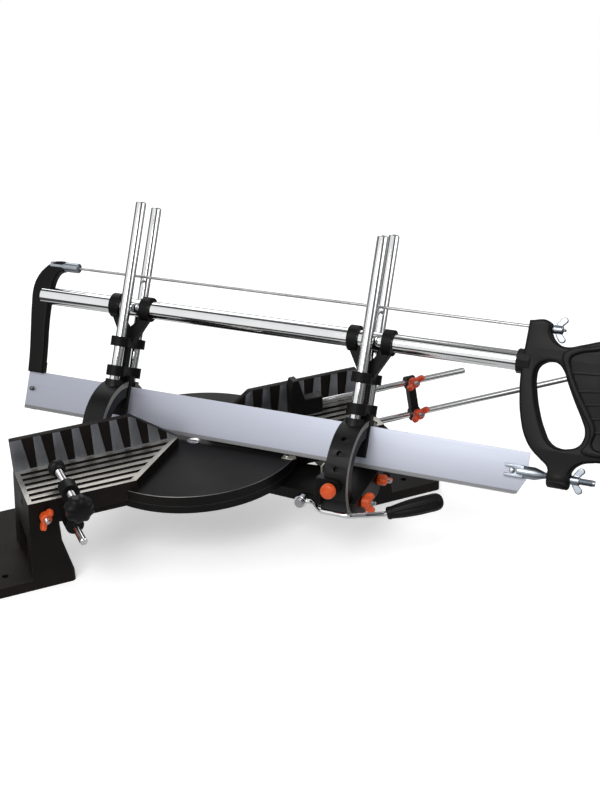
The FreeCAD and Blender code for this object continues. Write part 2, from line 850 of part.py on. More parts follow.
# The plunger's frame: Z runs outward from the tilt axis through the index holes
PLUNGER = Placement(
    Vector(value("front_post_at"), 0, value(AXIS_HEIGHT)),
    Rotation(Vector(1, 0, 0), 90 - value("plunger_angle")),
)


def plunger_housing():
    """Boss for the index plunger on a lug beside the ring."""
    boss = rod(
        "arm_plunger_boss",
        "z",
        ("0", "0", "ring_outer + 0.6"),
        "plunger_knob_r",
        "plunger_boss",
    )
    lug = box(
        "arm_plunger_lug",
        ("-ring_wide / 2 - ring_gap - cheek_thick", "-20", "ring_outer - 12"),
        ("-ring_wide / 2 - ring_gap", "plunger_knob_r", "ring_outer + 0.6 + plunger_boss"),
    )
    bridge = box(
        "arm_plunger_bridge",
        ("-ring_wide / 2 - ring_gap - 1", "-plunger_knob_r", "ring_outer + 0.6"),
        ("0", "plunger_knob_r", "ring_outer + 0.6 + plunger_boss"),
    )
    return moved("arm_plunger_housing", fuse("arm_plunger_parts", [boss, lug, bridge]), PLUNGER)


keep("saw_arm", arm(), TABLE)


def pivot_nut():
    """Lock nut under the arm."""
    nut = hexagon("pivot_nut_blank", ("0", "0"), "arm_bottom - pivot_bolt_r", "arm_bottom", "9")
    hole = rod("pivot_nut_hole", "z", ("0", "0", "arm_bottom - 8"), "pivot_bolt_r", "10")
    return cut("pivot_nut_cut", nut, [hole])


keep("pivot_nut", pivot_nut(), TABLE)


# Pointers: a mitre pointer on the disc and a bevel pointer standing on the arm
def mitre_pointer():
    """Thin pointer at the turntable's front edge."""
    return plate(
        "mitre_pointer_plate",
        "z",
        [
            ("table_radius - 12", "-4.5"),
            ("table_radius", "-4.5"),
            ("table_radius + 4", "0"),
            ("table_radius", "4.5"),
            ("table_radius - 12", "4.5"),
        ],
        AXIS_HEIGHT,
        AXIS_HEIGHT + " + 1",
    )


def bevel_pointer():
    """Upright pointer plate between the turntable and the front ring."""
    return box(
        "bevel_pointer_plate",
        (FRONT_NEAR + " - cheek_thick - 17", "-4.5", ARM_TOP),
        (FRONT_NEAR + " - cheek_thick - 15", "4.5", AXIS_HEIGHT + " - 1"),
    )


def pointer_screws():
    """Round-headed screws of the two pointers."""
    top = "%s + 1" % AXIS_HEIGHT
    first = rod("pointer_screw_top", "z", ("table_radius - 7", "0", top), "2.2", "1.2")
    at = FRONT_NEAR + " - cheek_thick - 18.2"
    second = rod("pointer_screw_front", "x", (at, "0", AXIS_HEIGHT + " - 9"), "2.2", "1.2")
    return group("pointer_screw_set", [first, second])


keep("mitre_pointer", mitre_pointer(), TABLE)
keep("bevel_pointer", bevel_pointer(), TABLE)
keep("pointer_screws", pointer_screws(), TABLE)


# Release lever: bent rod on a pin at the arm's side, with a sleeve grip
LEVER_PATH = [
    (0, 0, 0),
    (15, -1, 2),
    (32, -24, 8),
    (62, -24, 8),
    (77, -12, 5),
    (94, -2, 4),
    (138, 24, 12),
]
GRIP_START = 5
GRIP_R = 9.5


def lever_points():
    """The rod's corners in the table frame."""
    start = Vector(value("lever_pin_at"), -value("lever_across") - 2, value("lever_pin_z"))
    return [start + Vector(*corner) for corner in LEVER_PATH]


def bent_rod(name, points, radius, bend):
    """A round rod along straight runs joined by tangent arcs."""
    edges = []
    last = points[0]
    for index in range(1, len(points) - 1):
        corner = points[index]
        before = (points[index - 1] - corner).normalize()
        after = (points[index + 1] - corner).normalize()
        half = before.getAngle(after) / 2
        reach = bend / math.tan(half)
        start = corner + before * reach
        finish = corner + after * reach
        middle = corner + (before + after).normalize() * (bend / math.sin(half) - bend)
        edges.append(Part.makeLine(last, start))
        edges.append(Part.Arc(start, middle, finish).toShape())
        last = finish
    edges.append(Part.makeLine(last, points[-1]))
    path = Part.Wire(edges)
    start_circle = Part.makeCircle(radius, points[0], points[1] - points[0])
    feature = doc.addObject("Part::Feature", name)
    feature.Shape = path.makePipeShell([Part.Wire([start_circle])], True, False)
    return feature


def release_lever():
    """Rod with an eye for the pin."""
    points = lever_points()
    shaft = bent_rod("lever_shaft", points, value("lever_r"), 12)
    eye = rod(
        "lever_eye",
        "y",
        ("lever_pin_at", "-lever_across - 5", "lever_pin_z"),
        "2.4 * lever_r",
        "6",
    )
    hole = rod(
        "lever_eye_hole",
        "y",
        ("lever_pin_at", "-lever_across - 20", "lever_pin_z"),
        "pin_r + pin_gap",
        "40",
    )
    return cut("lever_cut", fuse("lever_rough", [shaft, eye]), [hole])


def lever_grip():
    """Sleeve on the lever's end, round and closed."""
    points = lever_points()
    start = points[GRIP_START] + (points[-1] - points[GRIP_START]) * 0.05
    run = points[-1] - start
    feature = doc.addObject("Part::Feature", "lever_grip_sleeve")
    outer = Part.makeCylinder(GRIP_R, run.Length + 2, start, run)
    end = start + run * ((run.Length + 2) / run.Length)
    tip = Part.makeSphere(GRIP_R, end)
    bore = Part.makeCylinder(value("lever_r"), run.Length, start, run)
    feature.Shape = outer.fuse(tip).removeSplitter().cut(bore)
    return feature


keep("release_lever", release_lever(), TABLE)
keep("lever_grip", lever_grip(), TABLE)


def lever_pin():
    """Headed pin in the arm's side."""
    shank = rod(
        "lever_pin_shank",
        "y",
        ("lever_pin_at", "-lever_across - 7", "lever_pin_z"),
        "pin_r",
        "lever_across + 7 - arm_half + 8",
    )
    head = rod("lever_pin_head", "y", ("lever_pin_at", "-lever_across - 9", "lever_pin_z"), "5", "3")
    return fuse("lever_pin_whole", [shank, head])


keep("lever_pin", lever_pin(), TABLE)


# Index plunger: sprung pin into the front ring, pulled by a round knob
def plunger_pin():
    """Pin from just outside the ring's index hole out to the knob."""
    tip = "ring_outer + plunger_rest"
    return rod("plunger_shaft", "z", ("0", "0", tip), "plunger_r", "plunger_boss + index_depth + 7")


def plunger_knob():
    """Round knob on the pin, as far out of its boss as the pin travels."""
    low = "(ring_outer + 0.6 + plunger_boss + index_depth)"
    knob = rod("plunger_knob_disc", "z", ("0", "0", low), "plunger_knob_r", "10")
    top = "ring_outer + plunger_rest + plunger_boss + index_depth + 7"
    bore_long = "%s - %s + 1" % (top, low)
    bore = rod("plunger_knob_bore", "z", ("0", "0", low + " - 1"), "plunger_r", bore_long)
    return cut("plunger_knob_cut", knob, [bore])


keep("plunger_pin", plunger_pin(), TABLE * PLUNGER)
keep("plunger_knob", plunger_knob(), TABLE * PLUNGER)


# Wing screws: one shape of knob with a plain shank, set where each is used
def wing_shank(name, length):
    """Shank that points back along the axis and shows a little through the knob."""
    return rod(name, "z", ("0", "0", "-(%s)" % length), "screw_r", "%s + 15" % length)


def wing_knob(name):
    """Hub with two upright wings."""
    hub = rod(name + "_hub", "z", ("0", "0", "0"), "6", "9")
    wings = plate(
        name + "_wings",
        "y",
        [
            ("-6", "1"),
            ("6", "1"),
            ("wing_span - 1", "6"),
            ("wing_span - 2", "14"),
            ("5", "12"),
            ("0", "8"),
            ("-5", "12"),
            ("2 - wing_span", "14"),
            ("1 - wing_span", "6"),
        ],
        "-wing_thick",
        "wing_thick",
    )
    hole = rod(name + "_hole", "z", ("0", "0", "-1"), "screw_r", "20")
    return cut(name + "_cut", fuse(name + "_rough", [hub, wings]), [hole])


def facing(axis_end, turn=0):
    """A rotation that points Z along a direction, with a turn about it first."""
    return Rotation(Vector(0, 0, 1), axis_end) * Rotation(Vector(0, 0, 1), turn)


BEVEL_SHANK = "cheek_thick + 0.5 + rim_high"
for side, name in ((-1, "left"), (1, "right")):
    spot = Vector(
        value(FRONT_FAR + " + cheek_thick + 0.4"),
        side * value("bevel_knob_across"),
        value("bevel_knob_z"),
    )
    place = TABLE * Placement(spot, facing(Vector(1, 0, 0), 35 + 30 * side))
    keep("bevel_screw_" + name, wing_shank("bevel_shank_" + name, BEVEL_SHANK), place)
    keep("bevel_knob_" + name, wing_knob("bevel_wing_" + name), place)

LOCK_SEAT = "bed_front + 1.5"
for side, name in ((-1, "left"), (1, "right")):
    spot = Vector(side * value("lock_x"), -value(LOCK_SEAT), value("stop_low_z"))
    place = Placement(spot, facing(Vector(0, -1, 0), 60))
    reach = LOCK_SEAT + " - stop_y - stop_r - 0.3"
    keep("lock_screw_" + name, wing_shank("lock_shank_" + name, reach), place)
    keep("lock_knob_" + name, wing_knob("lock_wing_" + name), place)


# Length stop: two rods joined by a link, with a stop block in front of the right fence
def stop_rod(name, start, end, height):
    """A rod of the length stop, along the fence."""
    return rod(name, "x", (start, "-stop_y", height), "stop_r", "(%s) - (%s)" % (end, start))


STOP_HIGH = "(stop_low_z + stop_spread)"
STOP_AXIS = Vector(0, -value("stop_y"), value("stop_low_z"))
LEAN = (
    Placement(STOP_AXIS, Rotation(Vector(1, 0, 0), -value("stop_lean")))
    * Placement(STOP_AXIS, Rotation()).inverse()
)
HIGH_AXIS = Vector(0, -value("stop_y"), value(STOP_HIGH))
HIGH = Placement(LEAN.multVec(HIGH_AXIS) - HIGH_AXIS, Rotation())


def stop_link():
    """Dog-bone link that both rods pass through."""
    near = "stop_link_x - stop_link_thick / 2"
    far = "stop_link_x + stop_link_thick / 2"
    low = rod("link_low", "x", (near, "-stop_y", "stop_low_z"), "stop_link_r", "stop_link_thick")
    high = rod("link_high", "x", (near, "-stop_y", STOP_HIGH), "stop_link_r", "stop_link_thick")
    web = box(
        "link_web",
        (near + " + 1", "-stop_y - 4.5", "stop_low_z"),
        (far + " - 1", "-stop_y + 4.5", STOP_HIGH),
    )
    holes = [
        rod(
            "link_hole_%d" % index,
            "x",
            ("stop_link_x - 20", "-stop_y", height),
            "stop_r + slide_gap",
            "40",
        )
        for index, height in enumerate(("stop_low_z", STOP_HIGH))
    ]
    screws = [
        rod(
            "link_screw_hole_%d" % index,
            "y",
            ("stop_link_x", "-stop_y - 20", height),
            "screw_r + slide_gap",
            "20",
        )
        for index, height in enumerate(("stop_low_z", STOP_HIGH))
    ]
    return cut("link_cut", fuse("link_rough", [low, high, web]), holes + screws)


def stop_block():
    """Block with an upright finger, fixed on the upper rod's inner end."""
    block = plate(
        "stop_block_plate",
        "y",
        [
            ("stop_high_start - 10", STOP_HIGH + " - 10"),
            ("stop_high_start + 28", STOP_HIGH + " - 10"),
            ("stop_high_start + 28", STOP_HIGH + " + 10"),
            ("stop_high_start + 7", STOP_HIGH + " + 10"),
            ("stop_high_start", STOP_HIGH + " + 35"),
            ("stop_high_start - 7", STOP_HIGH + " + 35"),
            ("stop_high_start - 10", STOP_HIGH + " + 26"),
        ],
        "-stop_y - 7",
        "-stop_y + 7",
    )
    hole = stop_rod("stop_block_hole", "stop_high_start", "stop_high_start + 34", STOP_HIGH)
    return cut("stop_block_cut", block, [hole])


keep("stop_lower_rod", stop_rod("stop_lower", "bed_half - 60", "stop_low_end", "stop_low_z"))
upper_rod = stop_rod("stop_upper", "stop_high_start", "stop_high_end", STOP_HIGH)
keep("stop_upper_rod", upper_rod, HIGH)
keep("stop_link", stop_link(), LEAN)
keep("stop_block", stop_block(), HIGH)
for name, height in (("lower", "stop_low_z"), ("upper", STOP_HIGH)):
    spot = Vector(value("stop_link_x"), -value("stop_y + stop_link_r + 0.4"), value(height))
    place = LEAN * Placement(spot, facing(Vector(0, -1, 0), 30))
    reach = "stop_link_r + 0.4 - stop_r - 0.3"
    keep("link_screw_" + name, wing_shank("link_shank_" + name, reach), place)
    keep("link_knob_" + name, wing_knob("link_wing_" + name), place)


# Work clamp on the left bed: rod in the apron, arm, screw, pad and knob
def clamp_arm():
    """Arm with a boss for the rod and one for the screw."""
    low_y = "-clamp_arm_y - clamp_arm_thick / 2"
    bosses = [
        rod("clamp_boss_%d" % index, "y", ("-clamp_x", low_y, height), "clamp_boss_r", "clamp_arm_thick")
        for index, height in enumerate(("clamp_rod_z", "clamp_screw_z"))
    ]
    web = box(
        "clamp_web",
        ("-clamp_x - 6", low_y + " + 2", "clamp_rod_z"),
        ("-clamp_x + 6", low_y + " + clamp_arm_thick - 2", "clamp_screw_z"),
    )
    holes = [
        rod(
            "clamp_bore_%d" % index,
            "y",
            ("-clamp_x", low_y + " - 1", height),
            radius + " + clamp_gap",
            "clamp_arm_thick + 2",
        )
        for index, (height, radius) in enumerate(
            (("clamp_rod_z", "clamp_rod_r"), ("clamp_screw_z", "clamp_screw_r"))
        )
    ]
    return cut("clamp_arm_cut", fuse("clamp_arm_rough", bosses + [web]), holes)


def clamp_knob():
    """Round knob with eight finger hollows."""
    knob = rod(
        "clamp_knob_disc",
        "y",
        ("-clamp_x", "-clamp_knob_y - 16", "clamp_screw_z"),
        "clamp_knob_r",
        "16",
    )
    tools = [
        rod(
            "clamp_knob_bore",
            "y",
            ("-clamp_x", "-clamp_knob_y - 10", "clamp_screw_z"),
            "clamp_screw_r",
            "12",
        )
    ]
    for index in range(8):
        angle = math.radians(45 * index)
        tools.append(
            rod(
                "clamp_knob_hollow_%d" % index,
                "y",
                (
                    "-clamp_x + %.6f * (clamp_knob_r + 2.2)" % math.cos(angle),
                    "-clamp_knob_y - 17",
                    "clamp_screw_z + %.6f * (clamp_knob_r + 2.2)" % math.sin(angle),
                ),
                "3.6",
                "18",
            )
        )
    return cut("clamp_knob_cut", knob, tools)


def clamp_pad():
    """Round pressing pad, open at the back for the screw's tip."""
    disc = rod(
        "clamp_pad_disc",
        "y",
        ("-clamp_x", "-clamp_pad_y - 12", "clamp_screw_z"),
        "clamp_pad_r",
        "12",
    )
    socket = rod(
        "clamp_pad_socket",
        "y",
        ("-clamp_x", "-clamp_pad_y - 13", "clamp_screw_z"),
        "clamp_screw_r + clamp_gap",
        "9",
    )
    return cut("clamp_pad_cut", disc, [socket])


keep(
    "clamp_rod",
    rod(
        "clamp_bar",
        "y",
        ("-clamp_x", "-clamp_rod_front", "clamp_rod_z"),
        "clamp_rod_r",
        "clamp_rod_long",
    ),
    CLAMP,
)
keep("clamp_arm", clamp_arm(), CLAMP)
keep(
    "clamp_screw",
    rod(
        "clamp_thread",
        "y",
        ("-clamp_x", "-clamp_knob_y - 10", "clamp_screw_z"),
        "clamp_screw_r",
        "clamp_knob_y + 10 - clamp_pad_y - 4.3",
    ),
    CLAMP,
)
keep("clamp_knob", clamp_knob(), CLAMP)
keep("clamp_pad", clamp_pad(), CLAMP)


# Tilting rings: open at the top for the blade, with sockets for two posts each
def ring(name, at, indexed):
    """One ring in the saw frame."""
    near = "%s - ring_wide / 2" % at
    disc = rod(name + "_disc", "x", (near, "0", "0"), "ring_outer", "ring_wide")
    rim = rod(
        name + "_rim", "x", ("%s + ring_wide / 2" % at, "0", "0"), "ring_outer", "rim_high"
    )
    rim_core = rod(
        name + "_rim_core",
        "x",
        ("%s + ring_wide / 2 - 1" % at, "0", "0"),
        "ring_outer - rim_wide",
        "3",
    )
    sockets = [
        rod(
            name + "_socket_%d" % (side + 1),
            "z",
            (at, "%d * post_across" % side, "post_foot"),
            "socket_r",
            "socket_top - post_foot",
        )
        for side in (-1, 1)
    ]
    core = rod(name + "_core", "x", (near + " - 1", "0", "0"), "ring_inner", "ring_wide + 4")
    mouth = box(
        name + "_mouth",
        (near + " - 1", "-mouth_half", "0"),
        ("%s + ring_wide / 2 + 2" % at, "mouth_half", "socket_top + 2"),
    )
    flat = box(
        name + "_flat",
        (near + " - 1", "-ring_outer", "-ring_outer - 2"),
        ("%s + ring_wide / 2 + 2" % at, "ring_outer", "-ring_flat"),
    )
    post_holes = [
        rod(
            name + "_post_hole_%d" % (side + 1),
            "z",
            (at, "%d * post_across" % side, "post_foot"),
            "post_r",
            "socket_top",
        )
        for side in (-1, 1)
    ]
    rim_whole = cut(name + "_rim_cut", rim, [rim_core])
    solid = fuse(name + "_rough", [disc, rim_whole] + sockets)
    tools = [core, mouth, flat] + post_holes
    if indexed:
        for step in range(4):
            angle = 90 - value("plunger_angle") + value("bevel_angle") - step * value("index_step")
            bore = rod(
                name + "_index_bore_%d" % step,
                "z",
                ("0", "0", "ring_outer - index_depth"),
                "plunger_r + slide_gap",
                "12",
            )
            place = Placement(Vector(value(at), 0, 0), Rotation(Vector(1, 0, 0), angle))
            tools.append(moved(name + "_index_%d" % step, bore, place))
    return cut(name + "_cut", solid, tools)


keep("front_ring", ring("front", "front_post_at", True), SAW)
keep("rear_ring", ring("rear", "-rear_post_at", False), SAW)


def guide_post(label, at, side, top):
    """A chromed post on the near or far side of the blade."""
    across = "%d * post_across" % side
    bar = rod(label + "_bar", "z", (at, across, "post_foot"), "post_r", top + " - post_foot")
    keep(label, bar, SAW)


guide_post("post_front_near", "front_post_at", -1, "post_top_near")
guide_post("post_front_far", "front_post_at", 1, "post_top_far")
guide_post("post_rear_near", "-rear_post_at", -1, "post_top_rear")
guide_post("post_rear_far", "-rear_post_at", 1, "post_top_rear")


# Carriages: tube rings, collars on both posts and a guide that straddles the blade
def carriage(name, at):
    """One carriage in the saw frame."""
    tube_rings = [
        rod(name + "_ring_a", "x", (at + " - 25.5", "0", "tube_height"), "tube_ring_r", "11"),
        rod(name + "_ring_b", "x", (at + " + 13.5", "0", "tube_height"), "tube_ring_r", "11"),
    ]
    neck = plate(
        name + "_neck",
        "y",
        [
            (at + " - 25.5", "tube_height"),
            (at + " - 25.5", "tube_height - 9"),
            (at + " - 10", "upper_collar + 12"),
            (at + " - 7", "upper_collar"),
            (at + " + 5", "upper_collar"),
            (at + " + 11", "upper_collar + 12"),
            (at + " + 24.5", "tube_height - 9"),
            (at + " + 24.5", "tube_height"),
            (at + " + 13.5", "tube_height"),
            (at + " + 8", "tube_height - 16"),
            (at, "tube_height - 24"),
            (at + " - 8", "tube_height - 16"),
            (at + " - 14.5", "tube_height"),
        ],
        "-neck_thick / 2",
        "neck_thick / 2",
    )
    collars = []
    for level, tall in (("upper_collar", "upper_collar_tall"), ("lower_collar", "lower_collar_tall")):
        for side in (-1, 1):
            collars.append(
                rod(
                    "%s_%s_%d" % (name, level, side + 1),
                    "z",
                    (at, "%d * post_across" % side, level),
                    "collar_r",
                    tall,
                )
            )
        collars.append(
            box(
                "%s_%s_web" % (name, level),
                (at + " - 8", "-post_across", level),
                (at + " + 8", "post_across", level + " + " + tall),
            )
        )
    spine = box(
        name + "_spine",
        (at + " - 7", "-neck_thick / 2", "lower_collar"),
        (at + " + 3", "neck_thick / 2", "upper_collar + 1"),
    )
    fork = box(
        name + "_fork",
        (at + " - 7", "-fork_out", "fork_bottom"),
        (at + " - 7 + fork_wide", "fork_out", "lower_collar + 2"),
    )
    slot = box(
        name + "_slot",
        (at + " - 10", "-blade_thick / 2 - fork_gap", "fork_bottom - 1"),
        (at + " + fork_wide", "blade_thick / 2 + fork_gap", "blade_edge + blade_tall + 1"),
    )
    tools = [
        slot,
        rod(name + "_bore", "x", (at + " - 40", "0", "tube_height"), "tube_r + slide_gap", "80"),
    ]
    for side in (-1, 1):
        tools.append(
            rod(
                "%s_post_bore_%d" % (name, side + 1),
                "z",
                (at, "%d * post_across" % side, "lower_collar - 1"),
                "post_r + slide_gap",
                "upper_collar - lower_collar + 20",
            )
        )
    solid = fuse(name + "_rough", tube_rings + [neck, spine, fork] + collars)
    return cut(name + "_cut", solid, tools)


keep("front_carriage", carriage("front_slide", "front_post_at"), SAW)
keep("rear_carriage", carriage("rear_slide", "-rear_post_at"), SAW)


# Frame saw: tube, rear arm, tension rod, blade, clevis and handle
def frame_tube():
    """Chromed tube from the rear arm to the handle."""
    length = "tube_back + tube_collar_at + tube_collar_long"
    outer = rod("tube_outer", "x", ("-tube_back", "0", "tube_height"), "tube_r", length)
    inner = rod("tube_inner", "x", ("-tube_back - 1", "0", "tube_height"), "tube_bore", length + " + 2")
    return cut("tube_cut", outer, [inner])


def frame_arm():
    """Curved arm that joins tube, tension rod and the blade's rear end."""
    arm_plate = plate(
        "frame_arm_plate",
        "y",
        [
            ("-198", "rod_height + 6"),
            ("-217", "rod_height + 5"),
            ("-230", "rod_height - 8"),
            ("-236", "150"),
            ("-234", "122"),
            ("-229.5", "90"),
            ("-226", "blade_edge + blade_tall"),
            ("-224", "blade_edge + 2"),
            ("-212", "blade_edge"),
            ("-206", "16"),
            ("-206", "50"),
            ("-209", "90"),
            ("-212", "126"),
            ("-211", "146"),
            ("-208", "161"),
            ("-198", "rod_height - 6"),
        ],
        "-frame_half",
        "frame_half",
    )
    tools = [
        box(
            "frame_arm_seat",
            ("-240", "-frame_half - 1", "0"),
            ("-200", "blade_thick / 2", "blade_edge + blade_tall"),
        ),
        rod("frame_arm_tube", "x", ("-tube_back", "0", "tube_height"), "tube_r", "40"),
        rod("frame_arm_rod", "x", ("-ferrule_back", "0", "rod_height"), "ferrule_r", "40"),
        box(
            "frame_arm_rod_seat",
            ("-ferrule_back", "-frame_half - 1", "rod_height - ferrule_r"),
            ("-190", "0", "rod_height + ferrule_r"),
        ),
        rod("frame_arm_pin", "y", ("-pin_rear_at", "-20", "pin_height"), "pin_r", "40"),
    ]
    return cut("frame_arm_cut", arm_plate, tools)


def blade():
    """Straight blade with a pin hole at each end."""
    top = "blade_edge + blade_tall"
    strip = plate(
        "blade_strip",
        "y",
        [
            ("-blade_back", "blade_edge"),
            ("blade_front - blade_slant / 2", "blade_edge"),
            ("blade_front", "blade_edge + blade_slant"),
            ("blade_front", top),
            ("-blade_back", top),
        ],
        "-blade_thick / 2",
        "blade_thick / 2",
    )
    holes = [
        rod("blade_hole_rear", "y", ("-pin_rear_at", "-5", "pin_height"), "pin_r", "10"),
        rod("blade_hole_front", "y", ("pin_front_at", "-5", "pin_height"), "pin_r", "10"),
    ]
    return cut("blade_cut", strip, holes)


def clevis():
    """Slotted round clevis that narrows to the tension bolt through the handle."""
    back = "pin_front_at - 8"
    shoulder = "blade_front + 9"
    body_long = "%s - (%s)" % (shoulder, back)
    body = rod("clevis_body", "x", (back, "0", "pin_height"), "clevis_r", body_long)
    taper = doc.addObject("Part::Cone", "clevis_taper")
    taper.Placement = Placement(Vector(), TURN["x"])
    bind(taper, "Radius1", "clevis_r")
    bind(taper, "Radius2", "clevis_bolt_r")
    bind(taper, "Height", "8")
    for direction, place in zip("xyz", (shoulder, "0", "pin_height")):
        bind(taper, "Placement.Base." + direction, place)
    bolt_long = "%s + clevis_long - (%s)" % (back, shoulder)
    bolt = rod("clevis_bolt", "x", (shoulder, "0", "pin_height"), "clevis_bolt_r", bolt_long)
    slot = box(
        "clevis_slot",
        (back + " - 1", "-blade_thick / 2", "pin_height - clevis_r - 1"),
        ("blade_front + 0.5", "blade_thick / 2", "pin_height + clevis_r + 1"),
    )
    hole = rod("clevis_hole", "y", ("pin_front_at", "-10", "pin_height"), "pin_r", "20")
    return cut("clevis_cut", fuse("clevis_rough", [body, taper, bolt]), [slot, hole])


def handle():
    """Handle casting: guard, bosses and hand grip round the finger hole."""
    casting = plate(
        "handle_casting",
        "y",
        [
            ("354", "rod_height + 6.5"),
            ("375", "rod_height + 6.5"),
            ("377", "168"),
            ("384", "160"),
            ("394", "157"),
            ("426", "167"),
            ("452", "172"),
            ("463", "163"),
            ("460", "146"),
            ("468", "124"),
            ("468", "100"),
            ("458", "72"),
            ("462", "58"),
            ("455", "50"),
            ("436", "47"),
            ("417", "40"),
            ("417", "pin_height - 8"),
            ("395", "pin_height - 8"),
            ("394", "38"),
            ("377", "49"),
            ("368", "61"),
            ("360", "80"),
            ("354", "110"),
            ("352", "130"),
        ],
        "-handle_half",
        "handle_half",
    )
    grip = plate(
        "handle_grip",
        "y",
        [
            ("394", "152"),
            ("426", "163"),
            ("450", "168"),
            ("459", "161"),
            ("456", "146"),
            ("464", "124"),
            ("464", "100"),
            ("454", "72"),
            ("457", "60"),
            ("446", "54"),
            ("424", "56"),
            ("426", "78"),
            ("410", "108"),
        ],
        "-grip_half",
        "grip_half",
    )
    finger_hole = plate(
        "handle_hole",
        "y",
        [
            ("366", "118"),
            ("365", "131"),
            ("371", "140"),
            ("382", "142.5"),
            ("392", "139"),
            ("397", "131"),
            ("403", "115"),
            ("418", "88"),
            ("424", "76"),
            ("422", "65"),
            ("410", "57"),
            ("396", "58"),
            ("387", "66"),
            ("377", "88"),
        ],
        "-30",
        "30",
    )
    tools = [
        finger_hole,
        rod(
            "handle_collar_seat",
            "x",
            ("tube_collar_at", "0", "tube_height"),
            "tube_collar_r",
            "tube_collar_long",
        ),
        rod("handle_rod_hole", "x", ("340", "0", "rod_height"), "rod_r", "60"),
        rod("handle_bolt_hole", "x", ("380", "0", "pin_height"), "clevis_bolt_r", "60"),
    ]
    return cut("handle_cut", fuse("handle_rough", [casting, grip]), tools)


def tube_collar():
    """Collar where the tube meets the handle."""
    place = ("tube_collar_at", "0", "tube_height")
    outer = rod("collar_outer", "x", place, "tube_collar_r", "tube_collar_long")
    inner = rod("collar_inner", "x", place, "tube_r", "tube_collar_long")
    return cut("collar_cut", outer, [inner])


keep("saw_tube", frame_tube(), SAW)
keep("frame_arm", frame_arm(), SAW)
keep(
    "rod_ferrule",
    cut(
        "ferrule_cut",
        rod("ferrule_outer", "x", ("-ferrule_back", "0", "rod_height"), "ferrule_r", "ferrule_long"),
        [rod("ferrule_inner", "x", ("-rod_back", "0", "rod_height"), "rod_r", "ferrule_long")],
    ),
    SAW,
)
tension_bar = rod(
    "tension_bar", "x", ("-rod_back", "0", "rod_height"), "rod_r", "rod_back + rod_front"
)
keep("tension_rod", tension_bar, SAW)
keep("saw_handle", handle(), SAW)
keep("tube_collar", tube_collar(), SAW)
keep("saw_blade", blade(), SAW)
keep("blade_clevis", clevis(), SAW)
keep(
    "rear_blade_pin",
    rod("rear_pin", "y", ("-pin_rear_at", "-4", "pin_height"), "pin_r", "4 + frame_half"),
    SAW,
)
keep(
    "front_blade_pin",
    rod("front_pin", "y", ("pin_front_at", "-7", "pin_height"), "pin_r", "14"),
    SAW,
)


def wing_nut(name, start, height, bore):
    """Wing nut on a bolt along the saw, in the saw frame."""
    barrel = rod(name + "_barrel", "x", (start, "0", height), "wing_r", "9")
    wings = plate(
        name + "_wings",
        "y",
        [
            (start + " + 2", height + " - 4"),
            (start + " + 9", height + " - wing_span"),
            (start + " + 14", height + " - wing_span + 3"),
            (start + " + 8", height + " - 3"),
            (start + " + 8", height + " + 3"),
            (start + " + 14", height + " + wing_span - 3"),
            (start + " + 9", height + " + wing_span"),
            (start + " + 2", height + " + 4"),
        ],
        "-wing_thick / 2",
        "wing_thick / 2",
    )
    hole = rod(name + "_hole", "x", (start + " - 1", "0", height), bore, "30")
    return cut(name + "_cut", fuse(name + "_rough", [barrel, wings]), [hole])


top_nut = wing_nut("top_nut", "top_nut_at", "rod_height", "rod_r + slide_gap")
keep("top_wing_nut", top_nut, SAW)
bottom_nut = wing_nut("bottom_nut", "bottom_nut_at", "pin_height", "clevis_bolt_r + slide_gap")
keep("bottom_wing_nut", bottom_nut, SAW)

doc.recompute()

faults = [item.Name for item in doc.Objects if "Invalid" in item.State or "Error" in item.State]
for label, target in nodes.items():
    if target.Shape.isNull() or not target.Shape.isValid():
        faults.append(label)
if faults:
    raise RuntimeError("failed: " + ", ".join(faults))

os.makedirs("parts", exist_ok=True)
for label, target in nodes.items():
    target.Shape.exportStep("parts/%s.step" % label)
    solids = len(target.Shape.Solids)
    print("%-18s solids %d  volume %.1f" % (label, solids, target.Shape.Volume))
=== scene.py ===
import json
import math

import bmesh
import bpy
from mathutils import Matrix, Vector

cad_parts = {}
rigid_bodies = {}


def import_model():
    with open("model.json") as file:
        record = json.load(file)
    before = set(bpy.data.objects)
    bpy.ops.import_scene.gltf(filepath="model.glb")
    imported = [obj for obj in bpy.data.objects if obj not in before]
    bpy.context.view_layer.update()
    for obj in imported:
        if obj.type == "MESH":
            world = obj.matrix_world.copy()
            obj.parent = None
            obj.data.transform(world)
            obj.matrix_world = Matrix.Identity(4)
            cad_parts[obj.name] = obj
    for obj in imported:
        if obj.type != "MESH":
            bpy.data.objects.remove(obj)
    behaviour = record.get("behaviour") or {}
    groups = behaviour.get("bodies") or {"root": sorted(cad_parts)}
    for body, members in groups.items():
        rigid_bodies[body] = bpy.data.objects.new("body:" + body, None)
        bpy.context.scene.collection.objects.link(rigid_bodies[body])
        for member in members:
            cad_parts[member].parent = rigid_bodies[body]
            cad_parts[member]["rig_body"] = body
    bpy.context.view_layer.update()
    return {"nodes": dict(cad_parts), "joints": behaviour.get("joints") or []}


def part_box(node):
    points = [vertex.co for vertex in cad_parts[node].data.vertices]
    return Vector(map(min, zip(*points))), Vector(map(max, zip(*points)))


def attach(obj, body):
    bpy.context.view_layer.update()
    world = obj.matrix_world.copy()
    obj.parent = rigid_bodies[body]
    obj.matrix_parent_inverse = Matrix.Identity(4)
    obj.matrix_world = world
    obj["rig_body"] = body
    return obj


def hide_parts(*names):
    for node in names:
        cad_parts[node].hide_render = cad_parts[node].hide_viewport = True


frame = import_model()

